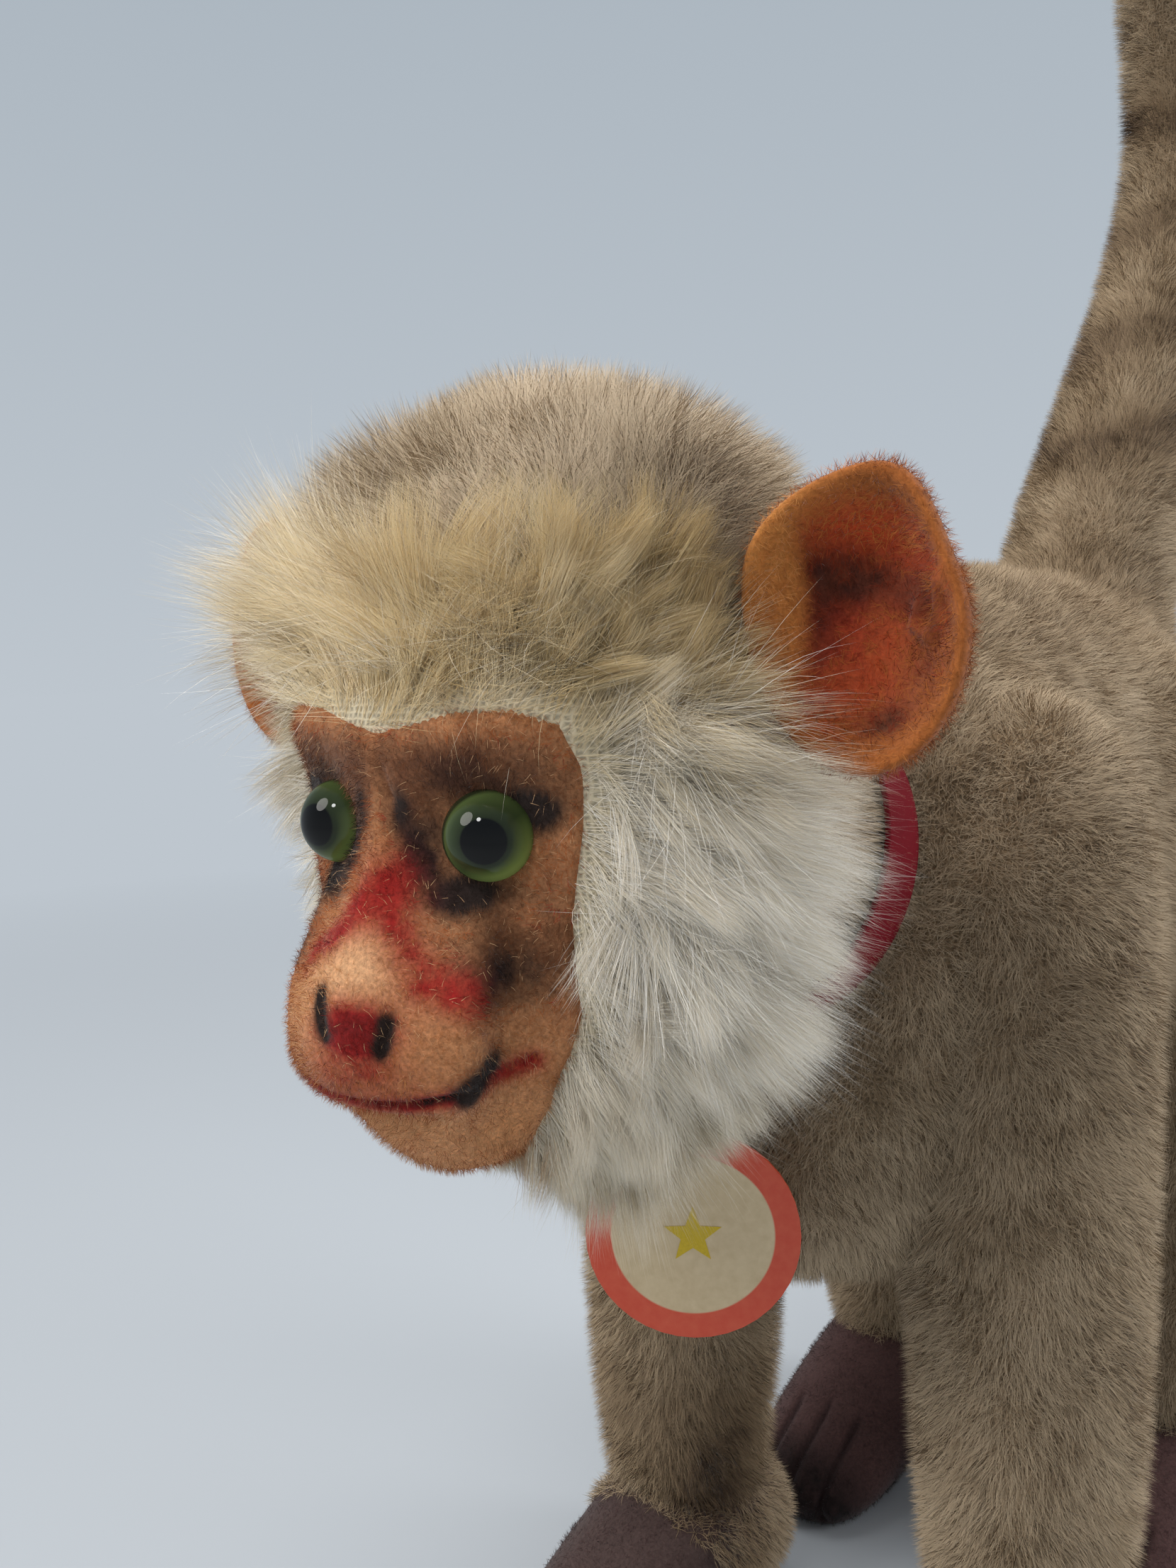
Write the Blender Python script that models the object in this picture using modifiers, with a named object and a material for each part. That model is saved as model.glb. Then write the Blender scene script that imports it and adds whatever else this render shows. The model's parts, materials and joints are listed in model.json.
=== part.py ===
"""A stuffed mohair baboon standing on four legs, with a felt face, felt ears, hands and feet,
glass eyes, a disc joint in the neck, a soft collar and a card tag hanging on its chest.
Metres, +Z up. The face looks towards -Y and the baboon's left side is at +X."""

from collections import namedtuple
from math import cos, pi, radians, sin, tau

import bmesh
import bpy
from mathutils import Matrix, Vector

# Clearances: between touching pieces, between a cover and its stuffing, between the neck's two ends
GAP = 0.0003
FILL_GAP = 0.0009
NECK_GAP = 0.0005

# Cloth: the mohair's woven backing, and the mean height of its pile over that
BACKING = 0.0015
BODY_PILE = 0.0030
HEAD_PILE = 0.0040

# Body, measured to the mohair's backing
BACK_Z = 0.1935
BELLY_Z = 0.079
TORSO_HALF_WIDTH = 0.0365
RUMP_Y = 0.122

# Legs: places of their axes, height of the seam between mohair leg and felt foot, radii
FRONT_LEG_X = 0.033
FRONT_LEG_Y = 0.008
HIND_LEG_X = 0.0300
HIND_LEG_Y = 0.086
SHOULDER_Z = 0.168
HIP_Z = 0.168
ANKLE_Z = 0.027
ANKLE_RADIUS = 0.0135
FOREARM_RADIUS = 0.0165
SHOULDER_RADIUS = 0.0205
THIGH_RADIUS = 0.0240
FOOT_LENGTH = 0.064
FOOT_HALF_WIDTH = 0.0165
SOLE_DEPTH = 0.0025

# Tail: its centreline in the (y, z) plane, and the radius of its backing at the root and the top
TAIL_PATH = [
    (0.098, 0.166),
    (0.119, 0.199),
    (0.135, 0.222),
    (0.152, 0.247),
    (0.166, 0.271),
    (0.1725, 0.298),
    (0.169, 0.319),
    (0.159, 0.334),
    (0.150, 0.340),
]
TAIL_ROOT_RADIUS = 0.0150
TAIL_TOP_RADIUS = 0.0098
TAIL_TUFT_RADIUS = 0.0108
TAIL_TIP_RADIUS = 0.0050

# Neck joint: a point on its axis where head and body meet, the axis' tilt over the horizontal
NECK_POINT = Vector((0.0, -0.0346, 0.1563))
NECK_TILT = radians(18)
NECK_RADIUS = 0.0235
DISC_RADIUS = 0.0150
DISC_THICKNESS = 0.0020
WASHER_RADIUS = 0.0060
WASHER_THICKNESS = 0.0008
PIN_WIRE_RADIUS = 0.0008
PIN_CURL_RADIUS = 0.0024

# Head: the point between the ears that its sizes are measured from
HEAD = Vector((0.0, -0.066, 0.1665))
SKULL_HALF_WIDTH = 0.0325
CROWN_Z = 0.0490
JAW_Z = -0.0445
NOSE_Y = -0.0336
BROW_Y = -0.0252
BROW_HALF_WIDTH = 0.0130
MUZZLE_HALF_WIDTH = 0.0136
FACE_HALF_WIDTH = 0.0225
FACE_TOP_Z = 0.0085
FACE_BOTTOM_Z = -0.0455
FACE_BACK_Y = -0.0030
MANE_SEAM_Z = 0.0060
MANE_BACK_Y = -0.0004
MANE_TILT = radians(12)
BAND_TOP_Z = 0.0275

# Eyes, measured from HEAD
EYE_RADIUS = 0.0048
EYE_X = 0.0116
EYE_Y = -0.0212
EYE_Z = -0.0031
EYE_TURN = radians(26)
PUPIL_RADIUS = 0.0023
PUPIL_THICKNESS = 0.0006
EYE_WIRE_RADIUS = 0.0004
EYE_WIRE_LENGTH = 0.0120

# Ears, measured from HEAD to the outer tip
EAR_TIP_X = 0.0575
EAR_Y = -0.0020
EAR_Z = 0.0188
EAR_HALF_WIDTH = 0.0128
EAR_HALF_HEIGHT = 0.0153
EAR_DEPTH = 0.0080
EAR_TURN = radians(4)
EAR_FELT = 0.0018

# Wires inside the legs and the tail
WIRE_RADIUS = 0.0010
WIRE_FOOT_Z = 0.0100
WIRE_CROSS_Z = 0.1330
FRONT_WIRE_BACK = 0.0060
HIND_WIRE_FORWARD = 0.0040
TAIL_WIRE_INSIDE = 0.030

# Collar, measured along and from the neck's axis
COLLAR_SETBACK = 0.0150
COLLAR_RADIUS = 0.0252
COLLAR_THICKNESS = 0.0012
COLLAR_WIDTH = 0.0090
COLLAR_OVERLAP = radians(24)
RIVET_RADIUS = 0.0012
RIVET_HEAD_RADIUS = 0.0022
RIVET_HEAD_THICKNESS = 0.0006

# Chest tag: where its thread leaves the rounded lip of the body's neck, the way it faces, its hole
THREAD_SETBACK = 0.0015
NECK_LIP_ROUNDING = 0.0021
TAG_X = 0.0045
TAG_Z = 0.1006
TAG_TURN = radians(35)
TAG_RADIUS = 0.0150
TAG_THICKNESS = 0.0008
TAG_HOLE_RADIUS = 0.0010
TAG_HOLE_INSET = 0.0026
THREAD_RADIUS = 0.0003

# Half size of a block that cuts, well past the whole toy
REACH = 0.4

# Faces round a form and along a turned piece
BODY_SIDES = 12
LIMB_SIDES = 8
INNER_SIDES = 10
TURNED_STEPS = 20

NECK_AXIS = Vector((0.0, -cos(NECK_TILT), sin(NECK_TILT)))
NECK_UP = Vector((0.0, sin(NECK_TILT), cos(NECK_TILT)))
NECK_ROTATION = Matrix.Rotation(pi / 2 - NECK_TILT, 4, "X")

# A ring of a form: its top and bottom points as (y, z), its half width and its middle's x
Section = namedtuple("Section", "top bottom half_width x")

COLOURS = {
    "mohair": ((0.36, 0.27, 0.19), 0.95, 0.0),
    "long_mohair": ((0.80, 0.74, 0.62), 0.9, 0.0),
    "crown_mohair": ((0.55, 0.46, 0.36), 0.95, 0.0),
    "face_felt": ((0.66, 0.34, 0.17), 0.95, 0.0),
    "ear_felt": ((0.62, 0.22, 0.06), 0.95, 0.0),
    "foot_felt": ((0.09, 0.05, 0.05), 0.95, 0.0),
    "wood_wool": ((0.62, 0.47, 0.26), 0.95, 0.0),
    "eye_glass": ((0.10, 0.20, 0.04), 0.05, 0.0),
    "black_glass": ((0.005, 0.005, 0.005), 0.1, 0.0),
    "steel": ((0.55, 0.55, 0.55), 0.35, 1.0),
    "fibre_board": ((0.35, 0.22, 0.12), 0.9, 0.0),
    "collar_cloth": ((0.40, 0.01, 0.05), 0.5, 0.0),
    "brass": ((0.75, 0.55, 0.20), 0.3, 1.0),
    "tag_card": ((0.80, 0.70, 0.45), 0.6, 0.0),
    "thread": ((0.75, 0.70, 0.60), 0.8, 0.0),
}

for old in list(bpy.data.objects):
    bpy.data.objects.remove(old, do_unlink=True)

PARTS = bpy.data.collections.new("stuffed_baboon")
CUTTERS = bpy.data.collections.new("cutters")
bpy.context.scene.collection.children.link(PARTS)
bpy.context.scene.collection.children.link(CUTTERS)
CUTTERS.hide_render = True


def material(slot):
    """The named material, made the first time it is asked for."""
    found = bpy.data.materials.get(slot)
    if found:
        return found
    colour, roughness, metallic = COLOURS[slot]
    found = bpy.data.materials.new(slot)
    found.use_nodes = True
    shader = found.node_tree.nodes["Principled BSDF"]
    shader.inputs["Base Color"].default_value = (*colour, 1.0)
    shader.inputs["Roughness"].default_value = roughness
    shader.inputs["Metallic"].default_value = metallic
    return found


def add_object(name, data, slot=None):
    """A part with its material, or a hidden cutter where no material is named."""
    obj = bpy.data.objects.new(name, data)
    if slot:
        PARTS.objects.link(obj)
        data.materials.append(material(slot))
    else:
        CUTTERS.objects.link(obj)
        obj.hide_render = True
        obj.display_type = "WIRE"
    return obj


def finish_mesh(name, bm, slot=None, smooth=True):
    bmesh.ops.recalc_face_normals(bm, faces=bm.faces)
    mesh = bpy.data.meshes.new(name)
    bm.to_mesh(mesh)
    bm.free()
    if smooth:
        mesh.shade_smooth()
        mesh.set_sharp_from_angle(angle=radians(50))
    return add_object(name, mesh, slot)


def subdivide(obj):
    step = obj.modifiers.new("Subdivision", "SUBSURF")
    step.levels = 1
    step.render_levels = 1


def boolean(obj, cutter, operation="DIFFERENCE"):
    step = obj.modifiers.new("Cut", "BOOLEAN")
    step.operation = operation
    step.object = cutter


def grown(sections, grow, flat_start):
    """The sections moved out by grow. A flat start stays in its plane when the form grows."""
    rings = []
    for section in sections:
        way = (section.top - section.bottom).normalized() * grow
        rings.append(Section(section.top + way, section.bottom - way, section.half_width + grow, section.x))
    for end, inner in ((0, 1), (-1, -2)):
        step = min(grow, 0.0) if flat_start and end == 0 else grow
        away = middle(sections[end]) - middle(sections[inner])
        away = away.normalized() * step
        rings[end] = rings[end]._replace(top=rings[end].top + away, bottom=rings[end].bottom + away)
    return rings


def middle(section):
    return (section.top + section.bottom) / 2


def loft(name, sections, sides, slot=None, grow=0.0, flat_start=False):
    """A soft form through elliptic sections, smoothed by a subdivision."""
    bm = bmesh.new()
    loops = []
    for ring in grown(sections, grow, flat_start):
        centre = middle(ring)
        arm = (ring.top - ring.bottom) / 2
        loop = []
        for i in range(sides):
            angle = tau * i / sides
            across = ring.half_width * sin(angle)
            place = centre + arm * cos(angle)
            loop.append(bm.verts.new((ring.x + across, place.x, place.y)))
        loops.append(loop)
    for one, two in zip(loops, loops[1:]):
        for i in range(sides):
            j = (i + 1) % sides
            bm.faces.new((one[i], one[j], two[j], two[i]))
    bm.faces.new(loops[0])
    bm.faces.new(loops[-1])
    obj = finish_mesh(name, bm, slot)
    subdivide(obj)
    return obj


def box(name, low, high):
    """A hidden block between two corners."""
    bm = bmesh.new()
    bmesh.ops.create_cube(bm, size=1.0)
    size = Vector(high) - Vector(low)
    centre = (Vector(high) + Vector(low)) / 2
    bmesh.ops.scale(bm, vec=size, verts=bm.verts)
    bmesh.ops.translate(bm, vec=centre, verts=bm.verts)
    return finish_mesh(name, bm, smooth=False)


def on_neck(forward):
    """A point on the neck's axis, forward of where head and body meet."""
    return NECK_POINT + NECK_AXIS * forward


def neck_frame(forward):
    return Matrix.Translation(on_neck(forward)) @ NECK_ROTATION


def cylinder(name, frame, radius, low, high, slot=None, segments=TURNED_STEPS):
    """A cylinder on the Z axis of frame, from low to high along it."""
    bm = bmesh.new()
    bmesh.ops.create_cone(
        bm, cap_ends=True, segments=segments, radius1=radius, radius2=radius, depth=high - low
    )
    bmesh.ops.translate(bm, vec=(0.0, 0.0, (low + high) / 2), verts=bm.verts)
    obj = finish_mesh(name, bm, slot)
    obj.matrix_world = frame
    return obj


def turned(name, frame, profile, slot=None):
    """A profile of (radius, height) points, top to bottom on its outer side, turned about Z.
    It is closed by its last edge unless it starts and ends on the axis."""
    mesh = bpy.data.meshes.new(name)
    edges = [(i, i + 1) for i in range(len(profile) - 1)]
    if profile[0][0] > 0.0:
        edges.append((len(profile) - 1, 0))
    mesh.from_pydata([(radius, 0.0, height) for radius, height in profile], edges, [])
    obj = add_object(name, mesh, slot)
    obj.matrix_world = frame
    screw = obj.modifiers.new("Turn", "SCREW")
    screw.steps = TURNED_STEPS
    screw.render_steps = TURNED_STEPS
    screw.use_merge_vertices = True
    screw.merge_threshold = 0.00001
    screw.use_smooth_shade = False
    return obj


def flat_ring(name, frame, inner, outer, low, high, slot=None):
    profile = [(outer, high), (outer, low), (inner, low), (inner, high)]
    return turned(name, frame, profile, slot)


def wire(name, points, radius, slot=None, cyclic=False, resolution=2):
    """A round wire through the points, as a closed mesh."""
    curve = bpy.data.curves.new(name, "CURVE")
    curve.dimensions = "3D"
    curve.bevel_depth = radius
    curve.bevel_resolution = resolution
    curve.use_fill_caps = not cyclic
    spline = curve.splines.new("POLY")
    spline.points.add(len(points) - 1)
    for place, point in zip(spline.points, points):
        place.co = (*point, 1.0)
    spline.use_cyclic_u = cyclic
    guide = bpy.data.objects.new(name + "_guide", curve)
    CUTTERS.objects.link(guide)
    graph = bpy.context.evaluated_depsgraph_get()
    mesh = bpy.data.meshes.new_from_object(guide.evaluated_get(graph))
    bpy.data.objects.remove(guide, do_unlink=True)
    mesh.name = name
    bm = bmesh.new()
    bm.from_mesh(mesh)
    bmesh.ops.remove_doubles(bm, verts=bm.verts, dist=0.00001)
    bmesh.ops.recalc_face_normals(bm, faces=bm.faces)
    bm.to_mesh(mesh)
    bm.free()
    mesh.shade_smooth()
    return add_object(name, mesh, slot)


def smooth_path(corners, parts):
    """Points on a smooth curve through the corners, with this many parts between each two."""
    points = []
    padded = [corners[0] * 2 - corners[1], *corners, corners[-1] * 2 - corners[-2]]
    for before, start, end, after in zip(padded, padded[1:], padded[2:], padded[3:]):
        for i in range(parts):
            t = i / parts
            points.append(
                (
                    start * 2
                    + (end - before) * t
                    + (before * 2 - start * 5 + end * 4 - after) * t**2
                    + (start * 3 - before - end * 3 + after) * t**3
                )
                / 2
            )
    points.append(corners[-1])
    return points


def pair(y, z):
    return Vector((y, z))


def neck_section(forward, radius):
    centre = on_neck(forward)
    top = centre + NECK_UP * radius
    bottom = centre - NECK_UP * radius
    return Section(pair(top.y, top.z), pair(bottom.y, bottom.z), radius, 0.0)


def torso_sections():
    """From the flat neck end, over the deep chest and the level back, to the round rump."""
    wide = TORSO_HALF_WIDTH
    fore = FRONT_LEG_Y
    hind = HIND_LEG_Y
    rump = RUMP_Y
    return [
        neck_section(-NECK_GAP / 2, NECK_RADIUS - 0.001),
        neck_section(-NECK_GAP / 2 - 0.003, NECK_RADIUS),
        neck_section(-COLLAR_SETBACK + COLLAR_WIDTH / 2 + 0.001, NECK_RADIUS),
        neck_section(-COLLAR_SETBACK - COLLAR_WIDTH / 2 - 0.003, NECK_RADIUS),
        Section(pair(fore - 0.004, BACK_Z - 0.007), pair(fore - 0.039, BELLY_Z + 0.026), wide - 0.007, 0.0),
        Section(pair(fore + 0.018, BACK_Z), pair(fore - 0.027, BELLY_Z + 0.002), wide - 0.001, 0.0),
        Section(pair(fore + 0.042, BACK_Z + 0.001), pair(fore + 0.010, BELLY_Z - 0.002), wide, 0.0),
        Section(pair(hind - 0.014, BACK_Z), pair(hind - 0.026, BELLY_Z), wide, 0.0),
        Section(pair(hind + 0.014, BACK_Z - 0.003), pair(hind + 0.010, BELLY_Z + 0.004), wide, 0.0),
        Section(pair(rump - 0.004, BACK_Z - 0.014), pair(rump - 0.002, BELLY_Z + 0.020), wide - 0.008, 0.0),
        Section(pair(rump + 0.003, BACK_Z - 0.034), pair(rump + 0.004, BELLY_Z + 0.044), wide - 0.020, 0.0),
    ]


def head_sections():
    """From the flat neck end, over the round skull, to the brow and the blunt muzzle."""
    skull = SKULL_HALF_WIDTH

    def at(top_y, top_z, bottom_y, bottom_z, half_width):
        top = pair(HEAD.y + top_y, HEAD.z + top_z)
        bottom = pair(HEAD.y + bottom_y, HEAD.z + bottom_z)
        return Section(top, bottom, half_width, 0.0)

    brow = BROW_Y
    nose = NOSE_Y
    muzzle = MUZZLE_HALF_WIDTH
    return [
        neck_section(NECK_GAP / 2, NECK_RADIUS - 0.002),
        neck_section(NECK_GAP / 2 + 0.003, NECK_RADIUS - 0.001),
        at(0.0300, CROWN_Z - 0.019, 0.0150, JAW_Z + 0.008, skull - 0.0045),
        at(0.0170, CROWN_Z - 0.005, 0.0060, JAW_Z + 0.003, skull - 0.0005),
        at(0.0020, CROWN_Z, -0.0020, JAW_Z + 0.001, skull),
        at(-0.0105, CROWN_Z - 0.008, -0.0080, JAW_Z, skull - 0.003),
        at(-0.0190, CROWN_Z - 0.022, -0.0130, JAW_Z, skull - 0.0090),
        at(brow, CROWN_Z - 0.0375, -0.0180, JAW_Z + 0.001, BROW_HALF_WIDTH),
        at(brow - 0.0030, EYE_Z - 0.0025, -0.0245, JAW_Z + 0.003, muzzle + 0.0018),
        at(nose + 0.0040, EYE_Z - 0.0085, nose + 0.0065, JAW_Z + 0.006, muzzle),
        at(nose + 0.0015, EYE_Z - 0.0125, nose + 0.0030, JAW_Z + 0.010, muzzle - 0.0040),
        at(nose, EYE_Z - 0.0165, nose + 0.0005, JAW_Z + 0.015, muzzle - 0.0085),
    ]


def leg_sections(x, steps):
    """Level sections of a leg from its ankle up, from (y, z, radius, half width) steps."""
    return [
        Section(pair(y - radius, z), pair(y + radius, z), half_width, x)
        for y, z, radius, half_width in steps
    ]


def front_leg_sections(side):
    y = FRONT_LEG_Y
    upper = SHOULDER_RADIUS
    return leg_sections(
        side * FRONT_LEG_X,
        [
            (y, ANKLE_Z, ANKLE_RADIUS, ANKLE_RADIUS),
            (y, ANKLE_Z + 0.003, ANKLE_RADIUS + 0.001, ANKLE_RADIUS + 0.001),
            (y, ANKLE_Z + 0.025, FOREARM_RADIUS, FOREARM_RADIUS),
            (y, SHOULDER_Z - 0.085, FOREARM_RADIUS + 0.001, FOREARM_RADIUS + 0.001),
            (y, SHOULDER_Z - 0.053, upper - 0.001, upper - 0.003),
            (y + 0.001, SHOULDER_Z - 0.024, upper, upper - 0.0035),
            (y + 0.003, SHOULDER_Z - 0.005, upper - 0.007, upper - 0.008),
            (y + 0.004, SHOULDER_Z, upper - 0.014, upper - 0.014),
        ],
    )


def hind_leg_sections(side):
    y = HIND_LEG_Y
    upper = THIGH_RADIUS
    return leg_sections(
        side * HIND_LEG_X,
        [
            (y, ANKLE_Z, ANKLE_RADIUS, ANKLE_RADIUS),
            (y, ANKLE_Z + 0.003, ANKLE_RADIUS + 0.001, ANKLE_RADIUS + 0.001),
            (y + 0.002, ANKLE_Z + 0.025, FOREARM_RADIUS, FOREARM_RADIUS),
            (y + 0.004, HIP_Z - 0.088, upper - 0.005, FOREARM_RADIUS + 0.002),
            (y + 0.005, HIP_Z - 0.056, upper - 0.001, upper - 0.005),
            (y + 0.005, HIP_Z - 0.026, upper, upper - 0.006),
            (y + 0.003, HIP_Z - 0.005, upper - 0.008, upper - 0.010),
            (y + 0.002, HIP_Z, upper - 0.016, upper - 0.017),
        ],
    )


def foot_sections(x, y):
    """A felt foot from heel to toes, under a leg whose axis is at x and y."""
    wide = FOOT_HALF_WIDTH
    heel = y + 0.0175
    toes = heel - FOOT_LENGTH
    arch = ANKLE_Z + 0.009
    rows = [
        (heel, ANKLE_Z - 0.004, SOLE_DEPTH, wide - 0.006),
        (heel - 0.003, ANKLE_Z + 0.006, -SOLE_DEPTH, wide - 0.002),
        (heel - 0.018, arch, -SOLE_DEPTH, wide - 0.0005),
        (toes + 0.026, ANKLE_Z - 0.002, -SOLE_DEPTH, wide + 0.0005),
        (toes + 0.013, ANKLE_Z - 0.010, -SOLE_DEPTH, wide),
        (toes + 0.003, ANKLE_Z - 0.0145, -SOLE_DEPTH, wide - 0.0035),
        (toes, ANKLE_Z - 0.018, SOLE_DEPTH, wide - 0.008),
    ]
    return [Section(pair(at_y, top), pair(at_y, bottom), half, x) for at_y, top, bottom, half in rows]


def tail_sections():
    radii = [TAIL_ROOT_RADIUS, TAIL_ROOT_RADIUS]
    count = len(TAIL_PATH)
    slim = count - 4
    for i in range(2, slim + 1):
        share = (i - 1) / (slim - 1)
        radii.append(TAIL_ROOT_RADIUS + (TAIL_TOP_RADIUS - TAIL_ROOT_RADIUS) * share)
    radii += [TAIL_TUFT_RADIUS, (TAIL_TUFT_RADIUS + TAIL_TIP_RADIUS) / 2 + 0.001, TAIL_TIP_RADIUS]
    points = [pair(*point) for point in TAIL_PATH]
    rings = []
    for i, (point, radius) in enumerate(zip(points, radii)):
        along = (points[min(i + 1, count - 1)] - points[max(i - 1, 0)]).normalized()
        out = pair(-along.y, along.x) * radius
        rings.append(Section(point + out, point - out, radius, 0.0))
    return rings


def leg_wire_path(x, y, cross_y):
    """Up one leg, across inside the body and down the other leg."""
    left = [
        Vector((x, y, WIRE_FOOT_Z)),
        Vector((x, y, ANKLE_Z + 0.020)),
        Vector((x, y, WIRE_CROSS_Z - 0.045)),
        Vector((x - 0.003, y, WIRE_CROSS_Z - 0.018)),
        Vector((x - 0.012, cross_y, WIRE_CROSS_Z - 0.002)),
    ]
    right = [Vector((-point.x, point.y, point.z)) for point in reversed(left)]
    return smooth_path([*left, Vector((0.0, cross_y, WIRE_CROSS_Z)), *right], 2)


def tail_wire_path():
    points = [Vector((0.0, y, z)) for y, z in TAIL_PATH[:-1]]
    start = points[0] - (points[1] - points[0]).normalized() * TAIL_WIRE_INSIDE
    return smooth_path([start, *points], 2)


def pin_path():
    """A cotter's wire: curl, leg, eye, leg, curl, in the XZ plane of the neck's frame."""
    leg = PIN_WIRE_RADIUS + GAP
    far = hardware_depth() + GAP + PIN_WIRE_RADIUS
    curl = PIN_CURL_RADIUS
    half = []
    for i in range(11):
        angle = pi * 1.2 * (1 - i / 10)
        half.append(Vector((leg + curl - curl * cos(angle), 0.0, -far - 0.001 - curl * sin(angle))))
    half.append(Vector((leg, 0.0, -far / 2)))
    half.append(Vector((leg, 0.0, far / 2)))
    half.append(Vector((leg, 0.0, far)))
    eye = curl
    for i in range(1, 7):
        angle = pi * 0.62 * i / 6
        out = leg + eye * sin(pi * i / 7) * 0.75
        on = far + eye * 2.2 * (1 - cos(angle)) / 2 + 0.0003 * i
        half.append(Vector((out, 0.0, on)))
    rest = [Vector((-point.x, 0.0, point.z)) for point in reversed(half)]
    return [neck_frame(0.0) @ point for point in [*half, *rest]]


def disc_seat():
    """How far from the neck's plane the discs lie, behind the cloth of each neck end."""
    return NECK_GAP / 2 + BACKING + FILL_GAP


def hardware_depth():
    """How far the disc and washer reach from the neck's plane on each side."""
    return disc_seat() + DISC_THICKNESS + GAP + WASHER_THICKNESS


def make_neck_hardware():
    """Two discs and two washers, one pair in the head and one in the body, and the pin through them."""
    bore = 2 * PIN_WIRE_RADIUS + 2 * GAP
    disc_low = disc_seat()
    disc_high = disc_low + DISC_THICKNESS
    washer_low = disc_high + GAP
    washer_high = washer_low + WASHER_THICKNESS
    for part, sign in (("head", 1), ("body", -1)):
        frame = neck_frame(0.0)
        disc = sorted((sign * disc_low, sign * disc_high))
        washer = sorted((sign * washer_low, sign * washer_high))
        flat_ring("neck_disc_" + part, frame, bore, DISC_RADIUS, *disc, "fibre_board")
        flat_ring("washer_" + part, frame, bore, WASHER_RADIUS, *washer, "steel")
    wire("split_pin", pin_path(), PIN_WIRE_RADIUS, "steel", resolution=1)


def neck_room(name, sign):
    """The room that the disc, the washer and the pin's end take in the stuffing, as one turned cutter."""
    disc_end = disc_seat() + DISC_THICKNESS + GAP
    washer_end = hardware_depth() + GAP
    pin_end = washer_end + PIN_CURL_RADIUS * 3.6
    pin_room = PIN_CURL_RADIUS * 2 + PIN_WIRE_RADIUS * 2 + GAP * 3
    profile = [
        (0.0, pin_end),
        (pin_room, pin_end),
        (pin_room, washer_end),
        (WASHER_RADIUS + GAP, washer_end),
        (WASHER_RADIUS + GAP, disc_end),
        (DISC_RADIUS + GAP, disc_end),
        (DISC_RADIUS + GAP, -0.002),
        (0.0, -0.002),
    ]
    if sign < 0:
        profile = [(radius, -height) for radius, height in reversed(profile)]
    return turned(name, neck_frame(0.0), profile)


def make_wires():
    """The wires, and for each a cutter that is a gap wider."""
    routes = {
        "front_legs_wire": leg_wire_path(FRONT_LEG_X, FRONT_LEG_Y, FRONT_LEG_Y + FRONT_WIRE_BACK),
        "hind_legs_wire": leg_wire_path(HIND_LEG_X, HIND_LEG_Y, HIND_LEG_Y - HIND_WIRE_FORWARD),
        "tail_wire": tail_wire_path(),
    }
    channels = {}
    for name, points in routes.items():
        wire(name, points, WIRE_RADIUS, "steel", resolution=1)
        channels[name] = wire(name + "_channel", points, WIRE_RADIUS + GAP, resolution=1)
    return channels


def make_body(channels):
    """The mohair cover, its stuffing, the four legs with their felt feet, and the tail."""
    torso = torso_sections()
    bore = cylinder(
        "pin_bore_body", neck_frame(0.0), 2 * PIN_WIRE_RADIUS + 2 * GAP, -BACKING - 0.002, 0.002
    )
    seat = collar_seat()
    cover = loft("body_cover", torso, BODY_SIDES, "mohair", BODY_PILE, True)
    boolean(cover, loft("body_hollow", torso, INNER_SIDES, None, -BACKING, True))
    boolean(cover, bore)
    boolean(cover, seat)
    stuffing = loft("body_stuffing", torso, INNER_SIDES, "wood_wool", -BACKING - FILL_GAP, True)
    boolean(stuffing, neck_room("neck_room_body", -1))
    for channel in channels.values():
        boolean(cover, channel)
        boolean(stuffing, channel)
    outside = loft("body_outside", torso, BODY_SIDES, None, BODY_PILE + GAP, True)
    floor = box("below_floor", (-REACH, -REACH, -REACH), (REACH, REACH, 0.0))
    seam = box("above_ankle", (-REACH, -REACH, ANKLE_Z - GAP), (REACH, REACH, REACH))
    limbs = (
        ("front_leg", "hand", FRONT_LEG_X, FRONT_LEG_Y, front_leg_sections, "front_legs_wire"),
        ("hind_leg", "foot", HIND_LEG_X, HIND_LEG_Y, hind_leg_sections, "hind_legs_wire"),
    )
    for leg_name, foot_name, x, y, sections, wire_name in limbs:
        for side, word in ((1, "left"), (-1, "right")):
            leg = loft(f"{leg_name}_{word}", sections(side), LIMB_SIDES, "mohair", BODY_PILE, True)
            boolean(leg, outside)
            boolean(leg, channels[wire_name])
            foot = loft(f"{foot_name}_{word}", foot_sections(side * x, y), LIMB_SIDES, "foot_felt")
            boolean(foot, floor)
            boolean(foot, seam)
            boolean(foot, channels[wire_name])
    tail = loft("tail", tail_sections(), LIMB_SIDES, "mohair", BODY_PILE)
    boolean(tail, outside)
    boolean(tail, channels["tail_wire"])


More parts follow.
